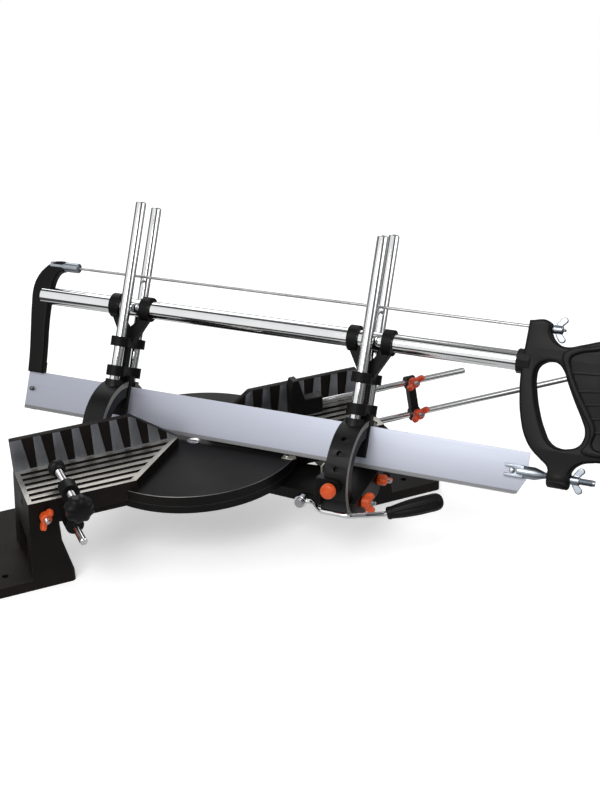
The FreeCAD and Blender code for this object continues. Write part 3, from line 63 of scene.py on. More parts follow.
# Camera: a long lens above and to the left of the saw's front, as in the photograph,
# with its picture turned a little. It aims between the turntable and the blade's middle.
MM = 0.001
AIM = Vector((120.38, -22.53, 124.55)) * MM
CAMERA_TURN = math.radians(-21.03)
CAMERA_RISE = math.radians(26.86)
CAMERA_ROLL = math.radians(-2.28)
CAMERA_DISTANCE = 1410.66 * MM
LENS = 56.58
NEAREST_SEEN = 10 * MM
CAMERA_WAY = Vector(
    (
        math.sin(CAMERA_TURN) * math.cos(CAMERA_RISE),
        -math.cos(CAMERA_TURN) * math.cos(CAMERA_RISE),
        math.sin(CAMERA_RISE),
    )
)


def placed(name, data):
    """A new object in the scene."""
    piece = bpy.data.objects.new(name, data)
    bpy.context.scene.collection.objects.link(piece)
    return piece


def photo_camera():
    """The camera, with its axes worked out from turn, rise and roll."""
    right = Vector((0, 0, 1)).cross(CAMERA_WAY).normalized()
    up = CAMERA_WAY.cross(right)
    rolled_right = right * math.cos(CAMERA_ROLL) + up * math.sin(CAMERA_ROLL)
    rolled_up = up * math.cos(CAMERA_ROLL) - right * math.sin(CAMERA_ROLL)
    camera = placed("camera", bpy.data.cameras.new("camera"))
    camera.data.lens = LENS
    camera.data.clip_start = NEAREST_SEEN
    turned_axes = Matrix((rolled_right, rolled_up, CAMERA_WAY)).transposed().to_4x4()
    camera.matrix_world = Matrix.Translation(AIM + CAMERA_WAY * CAMERA_DISTANCE) @ turned_axes
    bpy.context.scene.camera = camera


photo_camera()
bpy.context.scene.view_settings.view_transform = "Standard"


# Studio: a round pale floor, a white room, and three soft lamps. Bright metal mirrors one big
# softbox on the left, dim walls, and the dark spot where the camera stands.
FLOOR_RADIUS = 1.7
FLOOR_COLOUR = (0.82, 0.82, 0.82)
FLOOR_LIFT = 0.42
FLOOR_LEVELS = ((0, 0.55), (0.38, 0.55), (0.44, 0.06), (1, 0.06))
ROOM_LIGHT = 0.55
CAMERA_SPOT_LEVELS = ((0.975, 1), (0.983, 0.04))
SOFTBOX_WAY = Vector((-0.85, -0.4, 0.35)).normalized()
SOFTBOX_LEVELS = ((0, 0.3), (0.26, 0.22), (0.34, 0.04), (0.52, 0.05), (0.58, 0.85), (1, 0.95))


def levels(tree, factor, stops):
    """Grey levels along a factor, from (place, level) pairs."""
    node = tree.nodes.new("ShaderNodeValToRGB")
    ends = node.color_ramp.elements
    for end, (place, level) in ((ends[0], stops[0]), (ends[1], stops[-1])):
        end.position = place
        end.color = (level, level, level, 1)
    for place, level in stops[1:-1]:
        ends.new(place).color = (level, level, level, 1)
    tree.links.new(factor, node.inputs["Fac"])
    return node.outputs["Color"]


def facing_way(tree, source, way):
    """How far a direction points along a given way, from -1 to 1."""
    node = tree.nodes.new("ShaderNodeVectorMath")
    node.operation = "DOT_PRODUCT"
    node.inputs[1].default_value = way
    tree.links.new(source, node.inputs[0])
    return node.outputs["Value"]


def larger(tree, first, second):
    """The larger of two factors."""
    node = tree.nodes.new("ShaderNodeMath")
    node.operation = "MAXIMUM"
    tree.links.new(first, node.inputs[0])
    tree.links.new(second, node.inputs[1])
    return node.outputs[0]


def finish(name, colour, roughness, metallic=0.0, gloss=0.5):
    """A new material: itself, its node tree and its principled shader."""
    material = bpy.data.materials.new(name)
    material.use_nodes = True
    shader = material.node_tree.nodes["Principled BSDF"]
    shader.inputs["Base Color"].default_value = (*colour, 1)
    shader.inputs["Roughness"].default_value = roughness
    shader.inputs["Metallic"].default_value = metallic
    shader.inputs["Specular IOR Level"].default_value = gloss
    return material, material.node_tree, shader


def new_mesh(name, shape):
    """A mesh made from a shape, which is then given up."""
    mesh = bpy.data.meshes.new(name)
    shape.to_mesh(mesh)
    shape.free()
    return mesh


def floor_finish():
    """Pale to the camera; the metal sees a lit patch under the saw and a dark floor round it."""
    material, tree, shader = finish("pale_floor", FLOOR_COLOUR, 0.9, gloss=0.1)
    shader.inputs["Emission Color"].default_value = (1, 1, 1, 1)
    path = tree.nodes.new("ShaderNodeLightPath")
    lift = tree.nodes.new("ShaderNodeMath")
    lift.operation = "MULTIPLY"
    lift.inputs[1].default_value = FLOOR_LIFT
    seen = larger(tree, path.outputs["Is Camera Ray"], path.outputs["Is Transmission Ray"])
    tree.links.new(seen, lift.inputs[0])
    tree.links.new(lift.outputs[0], shader.inputs["Emission Strength"])
    place = tree.nodes.new("ShaderNodeTexCoord")
    reach = tree.nodes.new("ShaderNodeVectorMath")
    reach.operation = "LENGTH"
    tree.links.new(place.outputs["Object"], reach.inputs[0])
    mirrored = tree.nodes.new("ShaderNodeEmission")
    patch = levels(tree, reach.outputs["Value"], FLOOR_LEVELS)
    tree.links.new(patch, mirrored.inputs["Color"])
    choice = tree.nodes.new("ShaderNodeMixShader")
    tree.links.new(path.outputs["Is Glossy Ray"], choice.inputs["Fac"])
    tree.links.new(shader.outputs["BSDF"], choice.inputs[1])
    tree.links.new(mirrored.outputs["Emission"], choice.inputs[2])
    tree.links.new(choice.outputs["Shader"], tree.nodes["Material Output"].inputs["Surface"])
    return material


def studio_floor():
    """A flat disc that keeps the saw's shadow and looks almost white."""
    shape = bmesh.new()
    bmesh.ops.create_circle(shape, cap_ends=True, segments=96, radius=FLOOR_RADIUS)
    floor = placed("floor", new_mesh("floor", shape))
    floor.data.materials.append(floor_finish())


def mixed(tree, factor, first, second, blend="MIX"):
    """One colour or socket turning into another."""
    node = tree.nodes.new("ShaderNodeMix")
    node.data_type = "RGBA"
    node.blend_type = blend
    if isinstance(factor, (int, float)):
        node.inputs["Factor"].default_value = factor
    else:
        tree.links.new(factor, node.inputs["Factor"])
    for socket, colour in ((node.inputs["A"], first), (node.inputs["B"], second)):
        if isinstance(colour, tuple):
            socket.default_value = (*colour, 1)
        else:
            tree.links.new(colour, socket)
    return node.outputs["Result"]


def studio_room():
    """White to the camera; to the metal, a softbox, dim walls and the camera's dark spot."""
    world = bpy.data.worlds.new("studio_room")
    world.use_nodes = True
    tree = world.node_tree
    background = tree.nodes["Background"]
    path = tree.nodes.new("ShaderNodeLightPath")
    place = tree.nodes.new("ShaderNodeTexCoord").outputs["Generated"]
    softbox = levels(tree, facing_way(tree, place, SOFTBOX_WAY), SOFTBOX_LEVELS)
    camera_spot = levels(tree, facing_way(tree, place, CAMERA_WAY), CAMERA_SPOT_LEVELS)
    walls = mixed(tree, 1.0, softbox, camera_spot, "MULTIPLY")
    plain = mixed(tree, path.outputs["Is Glossy Ray"], (ROOM_LIGHT,) * 3, walls)
    seen = larger(tree, path.outputs["Is Camera Ray"], path.outputs["Is Transmission Ray"])
    tree.links.new(mixed(tree, seen, plain, (1.0, 1.0, 1.0)), background.inputs["Color"])
    bpy.context.scene.world = world


def soft_lamp(name, place, watts, width):
    """A square softbox that faces the saw; its place and width are in metres."""
    lamp = bpy.data.lights.new(name, "AREA")
    lamp.energy = watts
    lamp.size = width
    holder = placed(name, lamp)
    holder.location = place
    holder.rotation_euler = (AIM - Vector(place)).to_track_quat("-Z", "Y").to_euler()


studio_floor()
studio_room()
soft_lamp("key_lamp", (-1.1, -1.2, 1.9), 24, 1.1)
soft_lamp("fill_lamp", (1.7, -1.0, 1.2), 9, 1.2)
soft_lamp("back_lamp", (0.3, 1.7, 1.5), 12, 1.4)


# Beds: sand castings in satin black, with ribbed decks under trapezoid fence pads. Ribs, borders
# and pads are milled bright after painting, and each bed stands on a leg with a bolted foot.
FENCE_RISE = 37.2 * MM
RIB_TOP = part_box("left_bed")[1].z - FENCE_RISE
FENCE_FORWARD = 2 * MM
BED_BLACK = (0.0036, 0.003, 0.0027)
BED_BROWN = (0.010, 0.007, 0.0055)
# Lighter grey for the castings' outer edges: a painted edge highlight, partly also rubbed paint.
EDGE_HIGHLIGHT_AND_WEAR = (0.05, 0.048, 0.045)
RIB_METAL = (0.66, 0.64, 0.59)
PAD_METAL = (0.36, 0.375, 0.41)
FLAT_ENOUGH = 0.99
NEAR_ENOUGH = 0.1 * MM


def grain(tree, size, turn=(0, 0, 0), detail=3):
    """Noise whose patches have the given length, width and height, in millimetres."""
    place = tree.nodes.new("ShaderNodeTexCoord")
    mapping = tree.nodes.new("ShaderNodeMapping")
    mapping.vector_type = "TEXTURE"
    mapping.inputs["Rotation"].default_value = turn
    mapping.inputs["Scale"].default_value = tuple(side * MM for side in size)
    noise = tree.nodes.new("ShaderNodeTexNoise")
    noise.inputs["Scale"].default_value = 1
    noise.inputs["Detail"].default_value = detail
    tree.links.new(place.outputs["Object"], mapping.inputs["Vector"])
    tree.links.new(mapping.outputs["Vector"], noise.inputs["Vector"])
    return noise.outputs["Fac"]


def spread(tree, source, low, high, start=0.3, end=0.7):
    """The source's range from start to end, spread from low to high."""
    node = tree.nodes.new("ShaderNodeMapRange")
    node.inputs["From Min"].default_value = start
    node.inputs["From Max"].default_value = end
    node.inputs["To Min"].default_value = low
    node.inputs["To Max"].default_value = high
    tree.links.new(source, node.inputs["Value"])
    return node.outputs["Result"]


def uneven(tree, shader, source, depth):
    """Bumps of the given depth, in millimetres, under the shader."""
    bump = tree.nodes.new("ShaderNodeBump")
    bump.inputs["Strength"].default_value = 1
    bump.inputs["Distance"].default_value = depth * MM
    tree.links.new(source, bump.inputs["Height"])
    tree.links.new(bump.outputs["Normal"], shader.inputs["Normal"])


def highlit_and_rubbed_edges(tree, width, patch):
    """A factor that rises along outer edges, in patches: a painted edge highlight, partly also paint
    rubbed off by handling.
    """
    soft = tree.nodes.new("ShaderNodeBevel")
    soft.samples = 4
    soft.inputs["Radius"].default_value = width * MM
    flat = tree.nodes.new("ShaderNodeNewGeometry")
    match = tree.nodes.new("ShaderNodeVectorMath")
    match.operation = "DOT_PRODUCT"
    tree.links.new(soft.outputs["Normal"], match.inputs[0])
    tree.links.new(flat.outputs["Normal"], match.inputs[1])
    both = tree.nodes.new("ShaderNodeMath")
    both.operation = "MULTIPLY"
    tree.links.new(spread(tree, match.outputs["Value"], 1, 0, 0.82, 0.995), both.inputs[0])
    tree.links.new(spread(tree, grain(tree, (patch,) * 3), 0.15, 0.9), both.inputs[1])
    return both.outputs[0]


def casting_paint(name, base, tint, shine=0.5, gloss=0.14):
    """Satin paint over a sand casting: cloudy colour, pimpled skin, and lighter outer edges that are
    a painted edge highlight as well as rubbed paint.
    """
    material, tree, shader = finish(name, base, shine, gloss=gloss)
    patches = grain(tree, (60, 60, 60))
    clouded = mixed(tree, spread(tree, patches, 0, 1), base, tint)
    # Outer edges lightened in patches: a painted edge highlight, partly also rubbed paint.
    highlit_and_worn = mixed(tree, highlit_and_rubbed_edges(tree, 0.7, 7), clouded, EDGE_HIGHLIGHT_AND_WEAR)
    tree.links.new(highlit_and_worn, shader.inputs["Base Color"])
    tree.links.new(spread(tree, patches, shine - 0.07, shine + 0.08), shader.inputs["Roughness"])
    uneven(tree, shader, grain(tree, (0.9, 0.9, 0.9), detail=2), 0.05)
    return material


def dimmed(colour, share):
    """A colour with less light in it."""
    return tuple(share * part for part in colour)


def milled_metal(name, colour, cut_size):
    """Bare aluminium with the milling cutter's fine lines."""
    material, tree, shader = finish(name, colour, 0.42, 1.0)
    lines = grain(tree, cut_size, detail=2)
    dull = grain(tree, (25, 25, 25))
    cut = mixed(tree, spread(tree, lines, 0, 1), dimmed(colour, 0.75), colour)
    tree.links.new(cut, shader.inputs["Base Color"])
    tree.links.new(spread(tree, dull, 0.36, 0.54), shader.inputs["Roughness"])
    uneven(tree, shader, lines, 0.02)
    return material


def dressed(piece, node, *materials):
    """The piece gets its materials, rides on its node's body and stands in for the node."""
    for material in materials:
        piece.data.materials.append(material)
    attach(piece, frame["nodes"][node]["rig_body"])
    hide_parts(node)
    return piece


def rounded_edges(piece, edge):
    """Round off the piece's sharp edges by a bevel, in millimetres."""
    rounding = piece.modifiers.new("rounded_edges", "BEVEL")
    rounding.width = edge * MM
    rounding.segments = 2
    rounding.limit_method = "ANGLE"
    rounding.angle_limit = math.radians(40)
    rounding.use_clamp_overlap = True


def smooth_faces(mesh, sharp):
    """Smooth shading, broken where faces meet at more than the given angle."""
    mesh.shade_smooth()
    mesh.set_sharp_from_angle(angle=math.radians(sharp))


def casting_copy(node, *materials, edge=0.7, sharp=32):
    """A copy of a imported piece: facets joined, then its edges rounded."""
    shape = bmesh.new()
    shape.from_mesh(frame["nodes"][node].data)
    bmesh.ops.remove_doubles(shape, verts=shape.verts, dist=0.005 * MM)
    bmesh.ops.dissolve_limit(
        shape, angle_limit=math.radians(0.5), verts=shape.verts, edges=shape.edges
    )
    piece = placed(node + "_model", new_mesh(node + "_model", shape))
    smooth_faces(piece.data, sharp)
    rounded_edges(piece, edge)
    return dressed(piece, node, *materials)


def milled_faces(piece, slot_number, way, place, above=0):
    """Another material for the faces that a cutter has passed over, at one place along a way."""
    for face in piece.data.polygons:
        off_plane = abs(face.center.dot(way) - place)
        if face.normal.dot(way) > FLAT_ENOUGH and off_plane < NEAR_ENOUGH and face.center.z > above:
            face.material_index = slot_number


bed_paint = casting_paint("bed_paint", BED_BLACK, BED_BROWN)
rib_face = milled_metal("rib_face", RIB_METAL, (120, 0.5, 10))
pad_face = milled_metal("pad_face", PAD_METAL, (0.5, 10, 60))
for bed in ("left_bed", "right_bed"):
    piece = casting_copy(bed, bed_paint, rib_face, pad_face)
    milled_faces(piece, 1, Vector((0, 0, 1)), RIB_TOP)
    milled_faces(piece, 2, Vector((0, -1, 0)), FENCE_FORWARD, RIB_TOP)


# Base pan: the fixed black plate under the turntable. Four steel hexagon screws go up through
# its ears into both beds and hold the two halves of the base together.
PLAIN_BLACK = (0.003, 0.0028, 0.0028)
PLAIN_TINT = (0.006, 0.0055, 0.005)
STEEL = (0.55, 0.55, 0.56)


def bright_steel(name, colour, shine, smudged=0.7):
    """Drawn, ground or plated steel with faint lines, and smudges that keep a share of the colour."""
    material, tree, shader = finish(name, colour, shine, 1.0)
    smudge = grain(tree, (18, 18, 18))
    handled = mixed(tree, spread(tree, smudge, 0, 1), dimmed(colour, smudged), colour)
    tree.links.new(handled, shader.inputs["Base Color"])
    low = max(shine - 0.06, 0.03)
    tree.links.new(spread(tree, smudge, low, shine + 0.06), shader.inputs["Roughness"])
    uneven(tree, shader, grain(tree, (0.35, 6, 6), detail=2), 0.008)
    return material


pan_paint = casting_paint("pan_paint", PLAIN_BLACK, PLAIN_TINT)
screw_steel = bright_steel("screw_steel", STEEL, 0.3)
casting_copy("base_pan", pan_paint)
casting_copy("pan_bolts", screw_steel, edge=0.3)


# Turntable: a black cast disc with a straight rear edge, turned in a lathe. Its rim catches
# the light where the tool has left a bright corner.
RIM_METAL = (0.22, 0.215, 0.21)
table_paint = casting_paint("table_paint", (0.003, 0.0028, 0.0027), (0.007, 0.006, 0.0056), 0.45)
rim_metal = bright_steel("rim_metal", RIM_METAL, 0.42)
piece = casting_copy("turntable", table_paint, rim_metal, edge=0.6)
piece.modifiers["rounded_edges"].material = 1


# Pivot bolt: a bright steel bolt with a low domed head in the turntable's centre, and a
# hexagon nut below the arm that holds table, pan and arm together.
def turned(profile, steps=48):
    """A lathe shape about Z, in millimetres, from (radius, height) points."""
    shape = bmesh.new()
    points = [shape.verts.new((radius, 0, height)) for radius, height in profile]
    runs = [shape.edges.new(pair) for pair in zip(points, points[1:])]
    bmesh.ops.spin(
        shape,
        geom=points + runs,
        cent=(0, 0, 0),
        axis=(0, 0, 1),
        dvec=(0, 0, 0),
        angle=math.tau,
        steps=steps,
        use_merge=True,
    )
    bmesh.ops.remove_doubles(shape, verts=shape.verts, dist=0.001)
    bmesh.ops.recalc_face_normals(shape, faces=shape.faces)
    return shape


def lathe_place(node, direction, turn=0):
    """The place of a round node's lower end, with Z along its axis; its radius and length."""
    way = Vector((0, 0, 1)).rotation_difference(Vector(direction)).to_matrix().to_4x4()
    corners = [way.inverted() @ vert.co for vert in frame["nodes"][node].data.vertices]
    low = Vector(map(min, zip(*corners)))
    high = Vector(map(max, zip(*corners)))
    start = way @ Vector(((low.x + high.x) / 2, (low.y + high.y) / 2, low.z))
    spun = Matrix.Rotation(math.radians(turn), 4, "Z") @ Matrix.Scale(MM, 4)
    return Matrix.Translation(start) @ way @ spun, (high.x - low.x) / 2 / MM, (high.z - low.z) / MM


def stand_in(node, shape, place, *materials, edge=0, sharp=35):
    """A new piece made in millimetres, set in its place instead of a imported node."""
    piece = placed(node + "_model", new_mesh(node + "_model", shape))
    piece.data.transform(place)
    smooth_faces(piece.data, sharp)
    if edge:
        rounded_edges(piece, edge)
    return dressed(piece, node, *materials)


BOLT_RADIUS = 5
HEAD_HEIGHT = 1.6
polished = bright_steel("polished_steel", (0.78, 0.78, 0.79), 0.14)
place, radius, length = lathe_place("pivot_bolt", (0, 0, 1))
under_head = length - HEAD_HEIGHT
bolt = [(0, 0), (BOLT_RADIUS, 0), (BOLT_RADIUS, under_head), (radius, under_head)]
bolt += [(radius, under_head + 0.5)]
bolt += [(radius - 1, length - 0.5), (radius - 3.2, length - 0.1), (0, length)]
stand_in("pivot_bolt", turned(bolt), place, polished)
casting_copy("pivot_nut", screw_steel, edge=0.4)


# Saw arm: a black iron casting under the table, from the rear cheek to the front one, with a
# saddle for each ring. It is painted with the table.
casting_copy("saw_arm", table_paint, edge=0.8)


# Pointers: two small plates of plain aluminium, one flat on the table's front rim and one
# upright by the front ring, each held by a bright pan head screw.
pointer_metal = bright_steel("pointer_metal", (0.62, 0.6, 0.52), 0.5)
casting_copy("mitre_pointer", pointer_metal, edge=0.2)
casting_copy("bevel_pointer", pointer_metal, edge=0.3)
casting_copy("pointer_screws", polished, edge=0.25)


# Release lever: a chromed steel rod, bent in a former, on a cross pin at the arm's side. Its
# grip is a black plastic sleeve, tapered, ribbed lengthwise and closed by a round end.
joints = {joint["name"]: joint for joint in frame["joints"]}
ALONG = Vector(joints["bevel_tilt"]["axis"]).normalized()
SIDEWAYS = Vector((0, 0, 1)).cross(ALONG)
GRIP_STEP, GRIP_ASIDE, GRIP_RISE = 44, 26, 8
GRIP_WAY = (GRIP_STEP * ALONG + GRIP_ASIDE * SIDEWAYS + Vector((0, 0, GRIP_RISE))).normalized()
GRIP_RIBS = 14


def pulled_in(shape, count, depth, low, high, inner=0.0):
    """Press hollows lengthwise into a turned shape between two heights."""
    for vert in shape.verts:
        reach = math.hypot(vert.co.x, vert.co.y)
        if low <= vert.co.z <= high and reach > inner:
            wave = 0.5 + 0.5 * math.cos(count * math.atan2(vert.co.y, vert.co.x))
            vert.co.xy *= 1 - depth * wave / reach
    return shape


chrome = bright_steel("chrome", (0.86, 0.87, 0.88), 0.06, smudged=0.94)
grip_plastic = casting_paint(
    "grip_plastic", (0.0035, 0.0035, 0.0038), (0.005, 0.005, 0.005), 0.42, 0.2
)
casting_copy("lever_pin", screw_steel, edge=0.3)
casting_copy("release_lever", chrome, edge=0.2, sharp=50)
place, radius, length = lathe_place("lever_grip", GRIP_WAY)
sleeve = [(0, 0), (4.6, 0), (6.3, 0.8), (6.9, 3), (6.6, 5), (7.2, 9), (8.2, 16)]
sleeve += [(9, 24), (radius, 34), (radius, length - 9), (radius - 0.7, length - 5.6)]
sleeve += [(radius - 2.4, length - 2.8), (radius - 5, length - 0.9), (0, length)]
shape = pulled_in(turned(sleeve, 112), GRIP_RIBS, 0.5, 8, length - 8)
stand_in("lever_grip", shape, place, grip_plastic, sharp=60)


# Index plunger: a bright pin in a boss at the ring's side, pulled by a round orange knob of
# moulded plastic with fine ribs round its rim.
ORANGE = (0.75, 0.09, 0.01)
RED_ORANGE = (0.72, 0.065, 0.012)
# Lighter orange for outer edges: a painted edge highlight, partly also scuffed plastic.
SCUFFED_EDGE_AND_HIGHLIGHT = (0.85, 0.24, 0.1)
KNOB_RIBS = 24


def orange_plastic(name, colour):
    """Moulded orange plastic, a little uneven, with lighter corners that are a painted edge highlight
    as well as scuffs.
    """
    material, tree, shader = finish(name, colour, 0.38)
    patches = grain(tree, (5, 5, 5))
    clouds = mixed(tree, spread(tree, patches, 0, 1), dimmed(colour, 0.72), colour)
    # Outer edges lightened in patches: a painted edge highlight, partly also scuffs.
    highlit_and_scuffed = mixed(tree, highlit_and_rubbed_edges(tree, 0.5, 3), clouds, SCUFFED_EDGE_AND_HIGHLIGHT)
    tree.links.new(highlit_and_scuffed, shader.inputs["Base Color"])
    tree.links.new(spread(tree, grain(tree, (4, 4, 4)), 0.3, 0.5), shader.inputs["Roughness"])
    uneven(tree, shader, grain(tree, (0.5, 0.5, 0.5), detail=2), 0.03)
    return material


orange = orange_plastic("orange_plastic", ORANGE)
red_orange = orange_plastic("red_orange_plastic", RED_ORANGE)
plunger_way = -Vector(joints["index_plunger_slide"]["axis"])
place, radius, length = lathe_place("plunger_pin", plunger_way)
pin = [(0, 0), (radius - 0.7, 0), (radius, 0.9), (radius, length), (0, length)]
stand_in("plunger_pin", turned(pin), place, polished, edge=0.25)
place, radius, length = lathe_place("plunger_knob", plunger_way)
knob = [(0, 0), (radius - 2.4, 0), (radius - 1.8, 1.2), (radius - 0.8, 2.2), (radius, 3.2)]
knob += [(radius, length - 2), (radius - 0.7, length - 0.8), (radius - 2, length - 0.2)]
knob += [(radius - 4.5, length), (0, length)]
shape = pulled_in(turned(knob, 96), KNOB_RIBS, 0.35, 3, length - 1.9)
stand_in("plunger_knob", shape, place, orange, sharp=50)


# Bevel clamps: two orange wing knobs on steel studs in front of the arm's front cheek. The
# moulding is a hub with two thick rounded wings, and the stud's thread shows at its end.
WING_OUTLINE = [(-5, 1.2), (0, 1), (5, 1.2), (9.6, 3.4), (12, 7.6), (11.4, 12.2), (8.6, 13.8)]
WING_OUTLINE += [(5, 11.4), (0, 8.6), (-5, 11.4), (-8.6, 13.8), (-11.4, 12.2), (-12, 7.6)]
WING_OUTLINE += [(-9.6, 3.4)]
KNOB_ON_STUD = 15


def threaded(radius, length, pitch=0.8, plain=0.5):
    """The half outline of a threaded bar with chamfered ends."""
    points = [(0, 0), (radius - 0.5, 0), (radius, 0.5), (radius, plain)]
    height = plain
    while height + pitch < length - 0.5:
        points.append((radius - 0.55 * pitch, height + pitch / 2))
        points.append((radius, height + pitch))
        height += pitch
    return points + [(radius - 0.6, length), (0, length)]


def smooth_plate(outlines, half, edge):
    """A plate in the XZ plane, in millimetres, with rounded rims; a third item marks a corner."""
    curve = bpy.data.curves.new("plate", "CURVE")
    curve.dimensions = "2D"
    curve.fill_mode = "BOTH"
    curve.extrude = half - edge
    curve.bevel_depth = edge
    curve.bevel_resolution = 3
    curve.offset = -edge
    curve.resolution_u = 8
    for outline in outlines:
        line = curve.splines.new("BEZIER")
        line.bezier_points.add(len(outline) - 1)
        line.use_cyclic_u = True
        for point, corner in zip(line.bezier_points, outline):
            point.co = (corner[0], corner[1], 0)
            kind = "VECTOR" if len(corner) == 3 else "AUTO"
            point.handle_left_type = kind
            point.handle_right_type = kind
    holder = bpy.data.objects.new("plate", curve)
    filled = bpy.data.meshes.new_from_object(holder)
    bpy.data.objects.remove(holder)
    bpy.data.curves.remove(curve)
    shape = bmesh.new()
    shape.from_mesh(filled)
    bpy.data.meshes.remove(filled)
    bmesh.ops.remove_doubles(shape, verts=shape.verts, dist=0.001)
    upright = Matrix.Rotation(math.radians(90), 3, "X")
    bmesh.ops.rotate(shape, verts=shape.verts, cent=(0, 0, 0), matrix=upright)
    bmesh.ops.recalc_face_normals(shape, faces=shape.faces)
    return shape


def joined(first, *others):
    """Several shapes in one."""
    for other in others:
        mesh = new_mesh("part", other)
        first.from_mesh(mesh)
        bpy.data.meshes.remove(mesh)
    return first


def moulded(piece, voxel, rounds):
    """Melt joined shapes into one body with soft corners."""
    melt = piece.modifiers.new("one_body", "REMESH")
    melt.mode = "VOXEL"
    melt.voxel_size = voxel * MM
    melt.use_smooth_shade = True
    soften = piece.modifiers.new("soft_corners", "SMOOTH")
    soften.factor = 0.5
    soften.iterations = rounds


def wing_screw(screw, knob, direction, turn, plastic):
    """A threaded stud with its wing knob, which points along the direction."""
    place, radius, length = lathe_place(screw, direction)
    stand_in(screw, turned(threaded(radius, length), 24), place, screw_steel, sharp=25)
    seat = lathe_place(screw, direction, turn)[0]
    seat.translation += Vector(direction).normalized() * ((length - KNOB_ON_STUD) * MM)
    hub = turned([(0, 0), (5.2, 0), (6, 0.9), (6, 8), (5.2, 9.3), (3.6, 10), (0, 10)], 40)
    body = joined(hub, smooth_plate([WING_OUTLINE], 2.6, 1.4))
    moulded(stand_in(knob, body, seat, plastic), 0.45, 6)


wing_screw("bevel_screw_left", "bevel_knob_left", ALONG, -40, orange)
wing_screw("bevel_screw_right", "bevel_knob_right", ALONG, 20, orange)


# Tilting rings: two open iron rings in satin black that carry the guide posts and turn in the
# arm's saddles. The front face of each has a machined rim, left bare.
RING_RIM = (0.48, 0.47, 0.44)
RING_BLACK = (0.004, 0.0042, 0.0048)
RING_TINT = (0.007, 0.007, 0.0075)
ring_paint = casting_paint("ring_paint", RING_BLACK, RING_TINT, 0.42, 0.22)
ring_rim = bright_steel("ring_rim", RING_RIM, 0.6)
for ring in ("front_ring", "rear_ring"):
    piece = casting_copy(ring, ring_paint, ring_rim, edge=0.4)
    front_face = max(vert.co.dot(ALONG) for vert in piece.data.vertices)
    milled_faces(piece, 1, ALONG, front_face)


# Guide posts: four ground and chromed steel rods with domed tops, pressed into the rings'
# sockets, two before the pivot and two behind it.
UP = Vector(joints["saw_lift"]["axis"]).normalized()
ACROSS = UP.cross(ALONG)
for post in ("post_front_near", "post_front_far", "post_rear_near", "post_rear_far"):
    place, radius, length = lathe_place(post, UP)
    rod = [(0, 0), (radius, 0), (radius, length - 2.4), (radius - 0.6, length - 1.1)]
    rod += [(radius - 2, length - 0.4), (radius - 4, length - 0.1), (0, length)]
    stand_in(post, turned(rod, 64), place, chrome, sharp=60)


# Carriages: two black castings that slide on the posts, one on each pair. Each has two rings
# for the frame tube, a collar on either post and a guide that straddles the blade.
for carriage in ("front_carriage", "rear_carriage"):
    casting_copy(carriage, table_paint, edge=0.6)


# Blade: a long strip of ground spring steel with fine teeth below. A dark pin at the rear
# holds it in the frame arm, and a bright one at the front in the clevis.
PIVOT = Vector(joints["mitre_turn"]["pos_m"])
SAW_AXES = Matrix((ALONG, ACROSS, UP)).transposed().to_4x4()
SAW = Matrix.Translation(PIVOT) @ SAW_AXES @ Matrix.Scale(MM, 4)
BLADE_REAR, BLADE_FRONT = -225.9, 374.1
BLADE_LOW, BLADE_HIGH = 3.1, 48.1
BLADE_HALF = 0.5
NOSE_LENGTH, NOSE_HEIGHT = 8, 17
TOOTH = 1.8
TOOTH_TIP = 0.4
TOOTH_HALF = 0.45
GULLET = 1.3
DARK_BAND = 4.4


def blade_metal():
    """Ground steel: fine lines along the blade and a darker band above the teeth."""
    material, tree, shader = finish("blade_steel", (0.45, 0.47, 0.54), 0.48, 1.0)
    lines = grain(tree, (90, 2, 0.5), SAW_AXES.to_euler(), 2)
    place = tree.nodes.new("ShaderNodeTexCoord").outputs["Object"]
    height = facing_way(tree, place, UP)
    edge_height = (BLADE_LOW + DARK_BAND) * MM + PIVOT.dot(UP)
    band = spread(tree, height, 0, 1, edge_height - 0.3 * MM, edge_height + 0.3 * MM)
    ground = mixed(tree, spread(tree, lines, 0, 1), (0.43, 0.45, 0.52), (0.47, 0.49, 0.56))
    tree.links.new(mixed(tree, band, (0.26, 0.26, 0.27), ground), shader.inputs["Base Color"])
    tree.links.new(spread(tree, lines, 0.46, 0.54), shader.inputs["Roughness"])
    uneven(tree, shader, lines, 0.002)
    return material


def blade_strip():
    """The blade without its teeth, with its lower front corner cut off."""
    root = BLADE_LOW + GULLET
    strip = [(BLADE_REAR, root, 1), (BLADE_FRONT - NOSE_LENGTH, root, 1)]
    strip += [(BLADE_FRONT, BLADE_LOW + NOSE_HEIGHT, 1), (BLADE_FRONT, BLADE_HIGH, 1)]
    strip += [(BLADE_REAR, BLADE_HIGH, 1)]
    return smooth_plate([strip], BLADE_HALF, 0.1)


def blade_tooth():
    """The rearmost tooth."""
    shape = bmesh.new()
    corners = [(BLADE_REAR, GULLET), (BLADE_REAR + TOOTH, GULLET), (BLADE_REAR + TOOTH_TIP, 0)]
    face = shape.faces.new([shape.verts.new((x, -TOOTH_HALF, BLADE_LOW + z)) for x, z in corners])
    grown = bmesh.ops.extrude_face_region(shape, geom=[face])["geom"]
    grown = [item for item in grown if isinstance(item, bmesh.types.BMVert)]
    bmesh.ops.translate(shape, verts=grown, vec=(0, 2 * TOOTH_HALF, 0))
    bmesh.ops.recalc_face_normals(shape, faces=shape.faces)
    return shape


